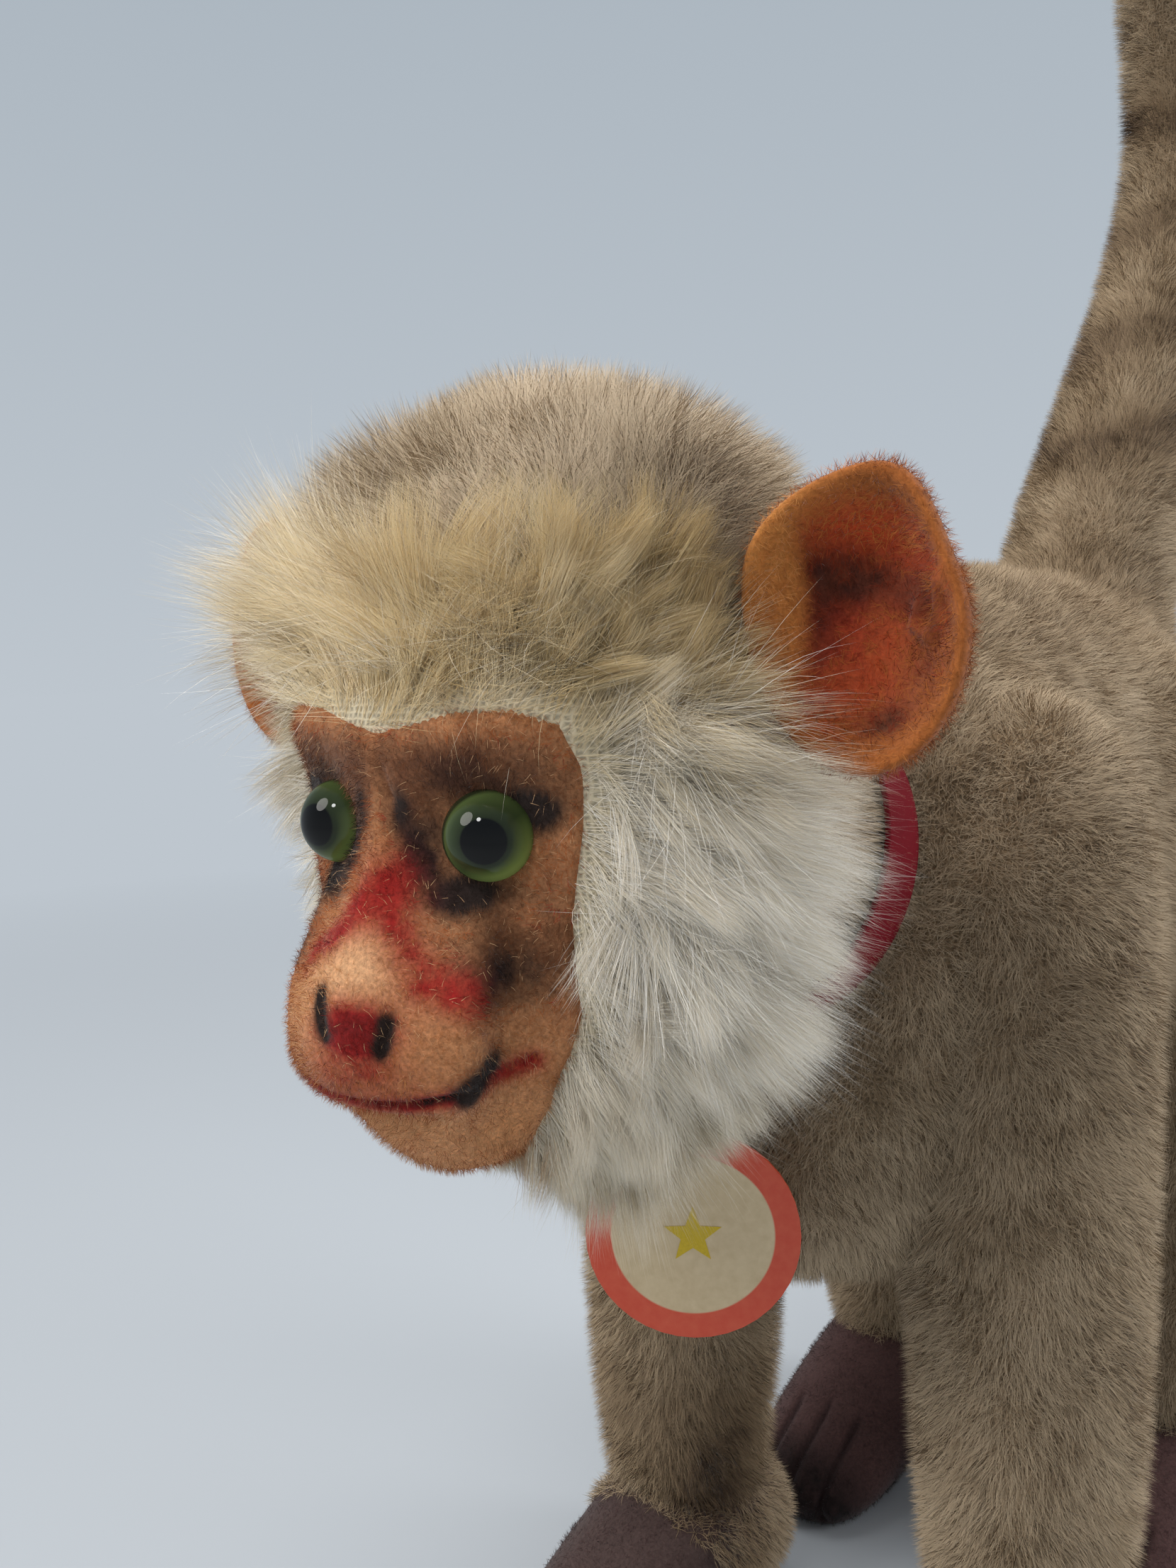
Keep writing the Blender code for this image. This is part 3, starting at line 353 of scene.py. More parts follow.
def loft(sections, x=0, shrink=WIDE_RING, inset=0, rows=120, columns=120, sculpt=None):
    """A skin through sections (top y, top z, bottom y, bottom z, half width) about one x."""
    sections = np.array(sections, float)
    middle = (sections[:, :2] + sections[:, 2:4]) / 2
    arm = (sections[:, :2] - sections[:, 2:4]) / 2
    values = spline(with_ends(np.column_stack([middle, arm, sections[:, 4]])), rows)
    long = np.linalg.norm(values[:, 2:4], axis=1, keepdims=True)
    arm = values[:, 2:4] * np.clip(long * shrink - inset, 0, None) / np.maximum(long, 1e-6)
    half_width = np.clip(values[:, 4:] * shrink - inset, 0, None)
    turn = np.linspace(0, math.tau, columns + 1)
    up = np.cos(turn)
    along_y = values[:, :1] + arm[:, :1] * up
    along_z = values[:, 1:2] + arm[:, 1:] * up
    points = np.stack([x + half_width * np.sin(turn), along_y, along_z], axis=2) * MM
    if sculpt:
        points = sculpt(points.reshape(-1, 3)).reshape(points.shape)
    return Skin(points)


def placed(points, matrix):
    """The points of an object's own space, in the space that holds it."""
    matrix = np.array(matrix)
    return points @ matrix[:3, :3].T + matrix[:3, 3]


def cup(outline, profile, rows, columns, matrix):
    """A skin whose rows shrink an outline to its middle by a profile of (share of the outline, height)."""
    rim = spline_round(outline, columns)
    profile = spline(profile, rows)[:, None, None]
    flat = profile[..., 0] * rim[None]
    height = np.broadcast_to(profile[..., 1], (*flat.shape[:2], 1))
    return Skin(placed(np.concatenate([flat, height], axis=2) * MM, matrix))


def outside(points, trees):
    """1 for each point that lies outside all of these forms, 0 for the rest."""
    kept = np.ones(len(points))
    for tree in trees:
        for i in np.flatnonzero(kept):
            place, normal, _, _ = tree.find_nearest(Vector(points[i]))
            if (Vector(points[i]) - place).dot(normal) < 0:
                kept[i] = 0
    return kept


# Materials


def fill(node, inputs):
    """Gives a node's inputs their values, or links where the value is a socket."""
    for name, value in dict(inputs).items():
        if isinstance(value, bpy.types.NodeSocket):
            node.id_data.links.new(value, node.inputs[name])
        else:
            node.inputs[name].default_value = value


def new_material(name):
    material = bpy.data.materials.new(name)
    material.use_nodes = True
    return material, material.node_tree, material.node_tree.nodes["Principled BSDF"]


def add_node(tree, kind, inputs=(), **settings):
    node = tree.nodes.new("ShaderNode" + kind)
    for name, value in settings.items():
        setattr(node, name, value)
    fill(node, inputs)
    return node


def object_place(tree):
    return add_node(tree, "TexCoord").outputs["Object"]


def calculate(tree, operation, first, second):
    return add_node(tree, "Math", {0: first, 1: second}, operation=operation).outputs["Value"]


def length_of(tree, vector):
    return add_node(tree, "VectorMath", {0: vector}, operation="LENGTH").outputs["Value"]


def remap(tree, value, low, high, to_low=0, to_high=1):
    inputs = {"Value": value, "From Min": low, "From Max": high, "To Min": to_low, "To Max": to_high}
    return add_node(tree, "MapRange", inputs).outputs["Result"]


def mixed(tree, share, first, second, blend_type="MIX"):
    inputs = {"Fac": share, "Color1": first, "Color2": second}
    return add_node(tree, "MixRGB", inputs, blend_type=blend_type).outputs["Color"]


def grain_noise(tree, place, grain, detail, roughness=0.5):
    inputs = {"Vector": place, "Scale": 1 / (grain * MM), "Detail": detail, "Roughness": roughness}
    return add_node(tree, "TexNoise", inputs).outputs["Fac"]


def bump(tree, height, depth, strength):
    inputs = {"Height": height, "Distance": depth * MM, "Strength": strength}
    return add_node(tree, "Bump", inputs).outputs["Normal"]


def shaded_paint(tree, shade):
    """The mesh's own paint, made lighter and darker."""
    paint = add_node(tree, "Attribute", attribute_name="Paint").outputs["Color"]
    return mixed(tree, 1, paint, shade, "MULTIPLY")


def painted_cloth(name, grain, depth, roughness=0.9, sheen=0.15, contrast=0.25):
    """Cloth coloured by the mesh's own paint, with uneven fibres and a fine bump."""
    material, tree, shader = new_material(name)
    fine = grain_noise(tree, object_place(tree), grain, 4, 0.65)
    colour = shaded_paint(tree, remap(tree, fine, 0.3, 0.7, 1 - contrast, 1 + contrast))
    fill(shader, {"Base Color": colour, "Normal": bump(tree, fine, depth, 0.8)})
    fill(shader, {"Roughness": roughness, "Specular IOR Level": 0.2, "Sheen Weight": sheen})
    return material


def backing_weave(name):
    """The woven cotton that the mohair is set in, with its square mesh of threads."""
    material, tree, shader = new_material(name)
    scale = 3 / (1.15 * MM) / math.tau
    wave = {"Vector": object_place(tree), "Scale": scale, "Distortion": 6, "Detail": 2.5}
    threads = [add_node(tree, "TexWave", wave, bands_direction=way).outputs["Fac"] for way in ("X", "Z")]
    weave = calculate(tree, "MAXIMUM", *threads)
    colour = shaded_paint(tree, remap(tree, weave, 0.1, 1, 0.62, 1.08))
    fill(shader, {"Base Color": colour, "Normal": bump(tree, weave, 0.2, 0.7), "Roughness": 0.9})
    return material


def make_fibre_materials():
    """Two materials for each shade of a fibre: its root, darker as painted shade of its neighbours, and its
    tip.
    """
    for slot, (roughness, gloss, root_shade_level) in FIBRE_KINDS.items():
        for i, colour in enumerate(SHADES[slot]):
            for end, level in (("root", root_shade_level), ("tip", 1)):
                _, _, shader = new_material(f"{slot}_{end}_{i}")
                fill(shader, {"Base Color": rgba(colour * level), "Roughness": roughness})
                fill(shader, {"Specular IOR Level": gloss, "Sheen Weight": 0.12, "Sheen Roughness": 0.4})


# Turning arrays into objects


def add_object(mesh, materials, body):
    """An object of the mesh with these materials, which rides on a body."""
    for material in materials:
        mesh.materials.append(material)
    mesh.shade_smooth()
    obj = bpy.data.objects.new(mesh.name, mesh)
    bpy.context.scene.collection.objects.link(obj)
    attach(obj, body)
    return obj


def add_mesh(name, points, faces, colours, material, body):
    """An object with one colour of paint for each point."""
    mesh = bpy.data.meshes.new(name)
    mesh.from_pydata(points.tolist(), [], faces)
    layer = mesh.color_attributes.new("Paint", "FLOAT_COLOR", "POINT")
    layer.data.foreach_set("color", np.column_stack([colours, np.ones(len(colours))]).ravel())
    return add_object(mesh, [material], body)


def skin_object(name, skin, material, body, colour, keep=None):
    """The form as a mesh, its end rings gathered into one point each."""
    rows, columns = skin.points.shape[:2]
    columns -= 1
    index = np.zeros((rows, columns), int)
    index[1:-1] = 1 + np.arange((rows - 2) * columns).reshape(rows - 2, columns)
    index[-1] = 1 + (rows - 2) * columns
    points = np.concatenate([skin.points[:1, 0], skin.points[1:-1, :-1].reshape(-1, 3), skin.points[-1:, 0]])
    quads = np.stack(corners(np.concatenate([index, index[:, :1]], axis=1)), axis=-1).reshape(-1, 4)
    if keep:
        kept = keep(points)
        quads = quads[kept[quads].all(axis=1)]
        used = np.unique(quads)
        quads = np.searchsorted(used, quads)
        points = points[used]
    faces = [list(dict.fromkeys(quad)) for quad in quads.tolist()]
    faces = [face for face in faces if len(face) > 2]
    return add_mesh(name, points, faces, colour(points), material, body)


def comb(roots, normals, way, length, lean, steps, seed, **habit):
    """Centre lines of fibres that leave the skin, lean over towards way, bend and gather into locks.

    The habit says how they droop, stray, wave, how wide a lock is, how far its tips gather and how much one
    lock differs from the next.
    """
    habit = {"droop": 0.2, "stray": 0.15, "wave": 0.2, "lock": 2, "gather": 0.4, "differ": 0} | habit
    random = np.random.default_rng(seed)
    count = len(roots)
    size = habit["lock"] * MM
    cells = np.floor((roots + noise_vector(roots, 1.6 * habit["lock"], seed + 13) * size * 1.2) / size)
    _, which, members = np.unique(cells, axis=0, return_inverse=True, return_counts=True)
    which = which.ravel()
    own_way = random.normal(size=(len(members), 3))[which] * habit["differ"]
    own_length = 1 + random.normal(size=len(members))[which] * 0.4 * habit["differ"]
    length = (length * MM * own_length)[:, None]
    lean = np.broadcast_to(lean, count)[:, None]
    loose = random.normal(size=(count, 3)) * habit["stray"] + own_way
    start = unit(normals * (1 - lean) + way * lean + loose + noise_vector(roots, 7, seed) * habit["wave"])
    turn = noise_vector(roots, 3, seed + 7) * habit["wave"] + own_way
    finish = unit(start + 0.5 * way * lean + np.array((0, 0, -habit["droop"])) + turn)
    share = np.linspace(0, 1, steps + 1)[None, :, None]
    reach = (length * start)[:, None] * share + (length * (finish - start))[:, None] * share**2 / 2
    tips = roots + reach[:, -1]
    middle = np.stack([np.bincount(which, tips[:, i]) / members for i in range(3)], axis=1)[which]
    pull = (middle - tips) * habit["gather"] * random.uniform(0.3, 1, (count, 1))
    return roots[:, None] + reach + pull[:, None] * share**2


def ribbons(lines, normals, width, flat):
    """Points of flat tapering ribbons along these lines, and the normals that shade them."""
    random = np.random.default_rng(len(lines))
    count, knots = lines.shape[:2]
    along = unit(lines[:, -1] - lines[:, 0])
    side = unit(np.cross(along, random.normal(size=(count, 3))))
    facing = np.cross(side, along)
    side *= np.where(np.sum(facing * normals, axis=1) < 0, -1, 1)[:, None]
    facing = unit(np.cross(side, along))
    taper = 1 - (np.arange(knots - 1) / (knots - 1)) ** 1.8
    half = side[:, None] * (width * MM * taper)[:, None] / 2
    edges = np.stack([lines[:, :-1] - half, lines[:, :-1] + half], axis=2).reshape(count, -1, 3)
    return np.concatenate([edges, lines[:, -1:]], axis=1), unit(flat * normals + (1 - flat) * facing)


def fibres(name, body, slot, lines, normals, width, colours, flat=0.68):
    """Fibres as ribbons in pieces, each fibre in the nearest shade of its slot and darker at its root as
    painted shade.
    """
    points, shading = ribbons(lines, normals, width, flat)
    per = points.shape[1]
    steps = per // 2
    shade = ((colours[:, None] - SHADES[slot]) ** 2).sum(axis=2).argmin(axis=1)
    names = [f"{slot}_{end}_{i}" for i in range(len(SHADES[slot])) for end in ("root", "tip")]
    pattern = [2 * i + corner for i in range(steps - 1) for corner in (0, 1, 3, 2)]
    pattern += [per - 3, per - 2, per - 1]
    most = 190000 // (2 * steps - 1)
    for number, first in enumerate(range(0, len(lines), most)):
        part = slice(first, first + most)
        some = len(lines[part])
        mesh = bpy.data.meshes.new(f"{name}_{number + 1}")
        mesh.vertices.add(some * per)
        mesh.vertices.foreach_set("co", points[part].astype(np.float32).ravel())
        indices = (np.array(pattern)[None, :] + per * np.arange(some)[:, None]).ravel()
        mesh.loops.add(len(indices))
        mesh.loops.foreach_set("vertex_index", indices.astype(np.int32))
        lengths = np.tile([4] * (steps - 1) + [3], some)
        mesh.polygons.add(len(lengths))
        mesh.polygons.foreach_set("loop_start", (np.cumsum(lengths) - lengths).astype(np.int32))
        slots = np.repeat(shade[part] * 2, steps).reshape(some, steps)
        slots[:, 1:] += 1
        mesh.polygons.foreach_set("material_index", slots.ravel().astype(np.int32))
        mesh.update(calc_edges=True)
        mesh.validate()
        add_object(mesh, [bpy.data.materials[key] for key in names], body)
        mesh.normals_split_custom_set_from_vertices(np.repeat(shading[part], per, axis=0).astype(np.float32))


def fuzz(name, body, slot, roots, normals, colours, way_seed, seed, length, lean=0.65, width=0.05, stray=0.5):
    """The loose fibres that stand off felt, brushed every way."""
    way = noise_vector(roots, 5, way_seed)
    lines = comb(roots, normals, way, length, lean, 2, seed, stray=stray, gather=0.1)
    fibres(name, body, slot, lines, normals, width, colours)


def everywhere(points):
    return np.ones(len(points))


# Sections of the forms, the same as the solids': (top y, top z, bottom y, bottom z, half width)


def neck_sections(*places):
    """Rings square to the neck's axis, this far forward along it and with this radius."""
    rings = []
    for forward, radius in places:
        centre = NECK / MM + NECK_AXIS * forward
        rings.append((*(centre + NECK_UP * radius)[1:], *(centre - NECK_UP * radius)[1:], radius))
    return rings


def grow_section(section, by):
    """The section with its ellipse made larger all round."""
    away = unit(section[:2] - section[2:4]) * by
    return section + (*away, *-away, by)


def torso_sections():
    base = np.array((0, BACK_Z, 0, BELLY_Z, TORSO_HALF_WIDTH))
    rows = (
        (FORE_Y - 4, -7, FORE_Y - 39, 26, -7),
        (FORE_Y + 18, 0, FORE_Y - 27, 2, -1),
        (FORE_Y + 42, 1, FORE_Y + 10, -2, 0),
        (HIND_Y - 14, 0, HIND_Y - 26, 0, 0),
        (HIND_Y + 14, -3, HIND_Y + 10, 4, 0),
        (RUMP_Y - 4, -14, RUMP_Y - 2, 20, -8),
        (RUMP_Y + 3, -34, RUMP_Y + 4, 44, -20),
    )
    neck = neck_sections((-0.5, 25), (-3.3, 26.5), (-9.5, 26.5), (-22.5, 26.5))
    return neck + [grow_section(base + row, PILE) for row in rows]


def head_sections():
    eye_z = EYE[2]
    rows = (
        (30, CROWN - 19, 15, JAW + 8, SKULL - 4.5),
        (17, CROWN - 5, 6, JAW + 3, SKULL - 0.5),
        (2, CROWN, -2, JAW + 1, SKULL),
        (-10.5, CROWN - 8, -8, JAW, SKULL - 3),
        (-19, CROWN - 22, -13, JAW, SKULL - 9),
        (BROW, CROWN - 37.5, -18, JAW + 1, 13),
        (BROW - 3, eye_z - 2.5, -24.5, JAW + 3, MUZZLE + 1.8),
        (NOSE + 4, eye_z - 8.5, NOSE + 6.5, JAW + 6, MUZZLE),
        (NOSE + 1.5, eye_z - 12.5, NOSE + 3, JAW + 10, MUZZLE - 4),
        (NOSE, eye_z - 16.5, NOSE + 0.5, JAW + 15, MUZZLE - 8.5),
    )
    centre = HEAD[1:] / MM
    return neck_sections((0.3, 21.5), (3.3, 22.5)) + [np.add((*centre, *centre, 0), row) for row in rows]


# The legs' sections: y from the leg's own, z, radius in y and half width
FOREARM = FOREARM_RADIUS + PILE
UPPER_ARM = SHOULDER_RADIUS + PILE
THIGH = THIGH_RADIUS + PILE
ANKLE = ((0, 25, 14.5, 14.5), (0, 30, FOREARM - 2, FOREARM - 2))
FRONT_LEG = (
    *ANKLE,
    (0, 52, FOREARM, FOREARM),
    (0, 83, FOREARM + 1, FOREARM + 1),
    (0, 115, UPPER_ARM - 1, UPPER_ARM - 3),
    (1, 144, UPPER_ARM, UPPER_ARM - 3.5),
    (3, 163, UPPER_ARM - 7, UPPER_ARM - 8),
    (4, 168, UPPER_ARM - 14, UPPER_ARM - 14),
)
HIND_LEG = (
    *ANKLE,
    (2, 52, FOREARM, FOREARM),
    (4, 80, THIGH - 5, FOREARM + 2),
    (5, 112, THIGH - 1, THIGH - 5),
    (5, 142, THIGH, THIGH - 6),
    (3, 163, THIGH - 8, THIGH - 10),
    (2, 168, THIGH - 16, THIGH - 17),
)


def leg_sections(y, steps):
    return [(y + dy - along, z, y + dy + along, z, wide) for dy, z, along, wide in steps]


def foot_sections(y):
    rows = (
        (HEEL, 23, 2.5, -6),
        (HEEL - 3, 33, -2.5, -2),
        (HEEL - 18, 36, -2.5, -0.5),
        (TOES + 26, 25, -2.5, 0.5),
        (TOES + 13, 17, -2.5, 0),
        (TOES + 3, 12.5, -2.5, -3.5),
        (TOES, 9, 2.5, -8),
    )
    return [(y + dy, top, y + dy, bottom, FOOT_HALF_WIDTH + wider) for dy, top, bottom, wider in rows]


def tail_sections():
    points = np.column_stack([FORE_Y + np.array(TAIL_BACK), TAIL_Z])
    radii = np.array(TAIL_RADII) + PILE
    along = unit(np.gradient(points, axis=0))
    out = np.column_stack([-along[:, 1], along[:, 0]]) * radii[:, None]
    return np.column_stack([points + out, points - out, radii])


# The head: sculpted front, backing, felt face and its paint

# Painted lines on the felt, from the head's centre. The nose is painted a little to the left.
MOUTH = (
    (-14.5, -19, -27.4), (-12, -26, -29), (-5, -32, -30.4), (0, -33, -30.9), (7.8, -30.9, -30.7),
    (12.3, -27.5, -29.4), (13.1, -24.4, -28.7), (13.3, -20.4, -28.5), (14.9, -18, -27.5),
)
LIP_SHADOW = MOUTH[3:6]
MOUTH_CORNER = ((14, -23.5, -27.2), (13.8, -26.4, -29.2))
NOSE_ARM_RIGHT = ((2.9, -28, -7.9), (-3.1, -30.4, -13.3), (-7.7, -29.6, -15.7))
NOSE_ARM_LEFT = ((2.9, -28, -7.9), (6.9, -29.1, -13.9), (9.9, -28.8, -17.1), (13.6, -26.8, -18.7))
NOSTRILS = (((7.3, -32.1, -21.3), (7, -32.7, -24.1)), ((-1.2, -33.8, -19.1), (0.5, -34.9, -23)))
NOSE_PATCH = (3.8, -33.6, -22.4)
BROW_CREASE = ((0.3, -22, 9.5), (0.6, -25, 5), (1.6, -26.5, 1))
BRIDGE_MARKS = (
    ((3.3, -25.9, 0.8), (3.5, -25.9, -1.4)),
    ((4.9, -25.2, -3.1), (5.2, -25.7, -5.5), (7, -25, -6.8)),
)

# Airbrushed spots on both sides of the face: tint, centre, radii and strength
FACE_SPOTS = (
    (BROWN, (10, -22, 4.6), (9.5, 8, 3.6), 1),
    (SOOT, (11, -22, 3.2), (7, 8, 1.8), 0.45),
    (BROWN, (3.5, -25, 1.5), (2.2, 6, 5), 0.85),
    (BROWN, (14, -22, -14.5), (4, 6, 4), 0.7),
    (BROWN, (19.5, -16, -12), (2.5, 8, 9), 0.55),
    (SOOT, (17.3, -19.4, 0.1), (1.8, 3.5, 1.4), 3),
    (SOOT, (10.5, -23.5, -8.9), (3.4, 3.5, 1.7), 1.7),
    (SOOT, (6.2, -25, -5), (1.7, 4, 3), 1.2),
    (SOOT, (15, -21.8, -17.6), (3.6, 4.5, 2.5), 1),
)


def on_head(points):
    """Places from the head's centre."""
    return (points - HEAD) / MM


def mirrored(points):
    """The points with both sides folded onto the left one."""
    folded = points.copy()
    folded[:, 0] = np.abs(folded[:, 0])
    return folded


def face_depth(points):
    """How far inside the felt's edge a point lies: seen from the front, and under the jaw."""
    outline = np.array(FACE_OUTLINE)
    flat = np.stack([np.abs(points[:, 0]), points[:, 2]], axis=1)
    inside = np.zeros(len(points), bool)
    for start, end in zip(outline, outline[1:]):
        level = (start[1] > flat[:, 1]) != (end[1] > flat[:, 1])
        edge_x = start[0] + (flat[:, 1] - start[1]) * (end[0] - start[0]) / (end[1] - start[1])
        inside ^= level & (flat[:, 0] < edge_x)
    edge = path_distance(flat, outline)
    under_jaw = FELT_END - points[:, 1] + 3 * np.clip(points[:, 2] + 37, 0, None)
    return np.minimum(np.where(inside, edge, -edge), under_jaw)


def sculpt_head(points):
    """Shapes the brow, eye sockets and bridge, the cheeks, the chin, the broad top, mouth and nostrils."""
    raw = on_head(points)
    local = mirrored(raw)
    flat = local[:, ::2]
    _, y, z = local.T
    front = soft_step(-6, -14, y)
    moved = raw.copy()
    brow = 2.6 * blob(flat, (14.5, 8.5), (6, 4)) * soft_step(-4, -12, y)
    socket = 4.6 * blob(flat, (9.5, -3.2), (4.4, 5.4))
    cheek = 2.6 * blob(flat, (10, -14), (4.5, 5))
    moved[:, 1] += (socket + cheek) * front - brow
    moved[:, 0] += np.sign(raw[:, 0]) * brow * 0.5
    bridge = 1.7 * blob(raw[:, ::2], (-0.5, -4), (4.5, 5.5)) + 0.9 * near_path(raw, BROW_CREASE, 0.9)
    moved[:, 1] += bridge * front
    inner = np.array((0, -14, -20))
    chin = 0.06 * soft_step(-28, -38, z) * soft_step(2, -12, y)
    moved += (inner - moved) * chin[:, None]
    moved[:, 2] += 3 * soft_step(-21, -29, y) * soft_step(-30, -38, z)
    moved[:, 2] -= 2 * blob(local, (0, -15, -42), (8, 4.5, 4))
    broad = 4 * blob(flat, (23, 33), (8, 11))
    moved[:, 0] += np.sign(raw[:, 0]) * broad * 0.8
    moved[:, 2] += broad * 0.4
    mouth = 0.9 * near_path(raw, MOUTH, 0.8)
    nostrils = sum(0.6 * near_path(raw, path, 0.9) for path in NOSTRILS)
    moved += unit(inner - moved) * ((mouth + nostrils) * front)[:, None]
    return HEAD + moved * MM


head_skin = loft(head_sections(), rows=230, columns=240, sculpt=sculpt_head)


class Paint:
    """Colours on points, laid on in soft strokes and spots."""

    def __init__(self, points, ground, seed):
        self.colour = np.tile(ground, (len(points), 1))
        self.edge = 1 + 0.22 * noise(points, 1.1, seed) + 0.2 * noise(points, 3, seed + 1)

    def lay(self, tint, amount):
        self.colour = blend(self.colour, tint, np.clip(amount * self.edge, 0, 1))

    def spot(self, local, tint, centre, radii, strength):
        self.lay(tint, strength * blob(local, centre, radii))

    def stroke(self, local, tint, path, width, strength):
        self.lay(tint, strength * near_path(local, path, width))


def face_paint(points):
    """The felt's tan with its airbrushed red, brown and sooty places."""
    raw = on_head(points)
    local = mirrored(raw)
    paint = Paint(points, FELT_TAN, 3)
    paint.spot(raw, PALE_TAN, (2, -31, -16), (5, 9, 4.5), 0.8)
    paint.lay(JAW_ORANGE, 0.7 * soft_step(-30, -36, local[:, 2]))
    for spot in FACE_SPOTS:
        paint.spot(local, *spot)
    for mark in BRIDGE_MARKS:
        paint.stroke(local, SOOT, mark, 1.3, 1.7)
    paint.stroke(raw, PAINT_RED, NOSE_ARM_RIGHT, 2.6, 1.15)
    paint.stroke(raw, PAINT_RED, NOSE_ARM_LEFT, 2.7, 0.95)
    paint.spot(raw, PAINT_RED, (1.9, -28.5, -8.8), (2.8, 4, 2.6), 0.8)
    paint.spot(raw, PAINT_RED, NOSE_PATCH, (3, 4, 2), 1.8)
    paint.spot(raw, DARK_RED, NOSE_PATCH, (2.4, 4, 1.6), 0.9)
    paint.spot(raw, PAINT_RED, (3, -33, -27.5), (5.5, 4, 2), 0.7)
    paint.stroke(raw, PAINT_RED, MOUTH, 1.5, 1.1)
    paint.stroke(raw, SOOT, LIP_SHADOW, 0.5, 1.2)
    paint.stroke(raw, SOOT, MOUTH_CORNER, 1.9, 1.8)
    for nostril in NOSTRILS:
        paint.stroke(raw, SOOT, nostril, 1, 1.8)
    return paint.colour


def felt_lift(points):
    """The felt stands over the backing inside its outline and dives under it outside."""
    return soft_step(-1, 0.6, face_depth(on_head(points))) * 1.3 - 0.8


def on_felt(points, depth, back):
    """Whether places lie deeper than this inside the felt's edge and in front of this y."""
    local = on_head(points)
    return (face_depth(local) > depth) & (local[:, 1] < back)


def mane_side(local):
    """How far in front of the seam between mane and crown a place is."""
    return -(local[:, 1] + 0.4) * math.cos(MANE_TILT) - local[:, 2] * math.sin(MANE_TILT)


def crown_colour(points):
    """Cream backing under the white fur, beige under the crown's, both darker than the fur above them as
    painted shade deep in the pile.
    """
    white = soft_step(-3, 3, mane_side(on_head(points)))
    return uneven(blend(srgb(176, 160, 140), srgb(206, 194, 166), white), points, 0.12, 3, 5)


def wood_wool_colour(points):
    return uneven(srgb(206, 182, 140), points, 0.2, 2, 6)


def make_head():
    weave = backing_weave("head_weave")
    backing = skin_object("head_backing", head_skin, weave, "head", crown_colour)
    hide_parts("head_cover", "forehead_band", "cheek_ruff_left", "cheek_ruff_right")
    felt_skin = head_skin.moved(felt_lift)
    felt = painted_cloth("painted_felt", 0.5, 0.15, contrast=0.35)
    cut_out = partial(on_felt, depth=-2, back=-3)
    face = skin_object("felt_face", felt_skin, felt, "head", face_paint, cut_out)
    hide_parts("face_mask")
    wool = painted_cloth("wood_wool", 1.5, 0.6)
    filling_skin = head_skin.moved(lambda points: np.full(len(points), -2.4))
    filling = skin_object("head_filling", filling_skin, wool, "head", wood_wool_colour)
    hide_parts("head_stuffing")
    roots, normals = felt_skin.roots(14, partial(on_felt, depth=-0.3, back=-4), 11)
    colours = uneven(face_paint(roots), roots, 0.18, 0.6, 12)
    colours[np.random.default_rng(15).random(len(roots)) < 0.06] = PALE_TAN
    fuzz("felt_fuzz", "head", "face_felt", roots, normals, colours, 14, 13, 1.2)


# The fur of the head: the long mane and the short crown


def mane_way(local):
    """The way that the long fur lies: up over the brow, out at the temples, back and down on the cheeks."""
    x, _, z = local.T
    side = np.clip(x / 14, -1, 1)
    above = soft_step(-4, 9, z)[:, None]
    low = soft_step(-12, -32, z)[:, None]
    temple = (soft_step(20, 28, np.abs(x)) * soft_step(20, 8, z))[:, None]
    across = np.column_stack([side, np.ones((len(x), 2))])
    brow = across * (0.8, 0.45, 0.7) * (1 - temple) + across * (1, 0.1, -0.15) * temple
    cheek = across * (0.65, 0.6, -0.5)
    beard = across * (0.55, 0.1, -0.8)
    return unit(brow * above + (cheek * (1 - low) + beard * low) * (1 - above))


def in_band(local):
    """Over the brow and in front of the ears, under the band's top edge."""
    tilted = local[:, 2] * math.cos(MANE_TILT) - local[:, 1] * math.sin(MANE_TILT)
    return (mane_side(local) > 0) & (tilted < BAND_TOP)


def mane_density(points):
    """Thin along the felt's edge and on the far cheek, and nothing below the chin."""
    local = on_head(points)
    x, y, z = local.T
    depth = face_depth(local)
    below_chin = (z < -38) & (y < -18) & (np.abs(x) < 7)
    bare_strip = 0.2 + 0.8 * soft_step(-1.8, -4.5, depth - 3 * soft_step(-22, -30, z))
    sparse = 1 - 0.6 * soft_step(-4, -16, x) * soft_step(2, -6, z)
    return in_band(local) * (depth < 0) * bare_strip * sparse * ~below_chin


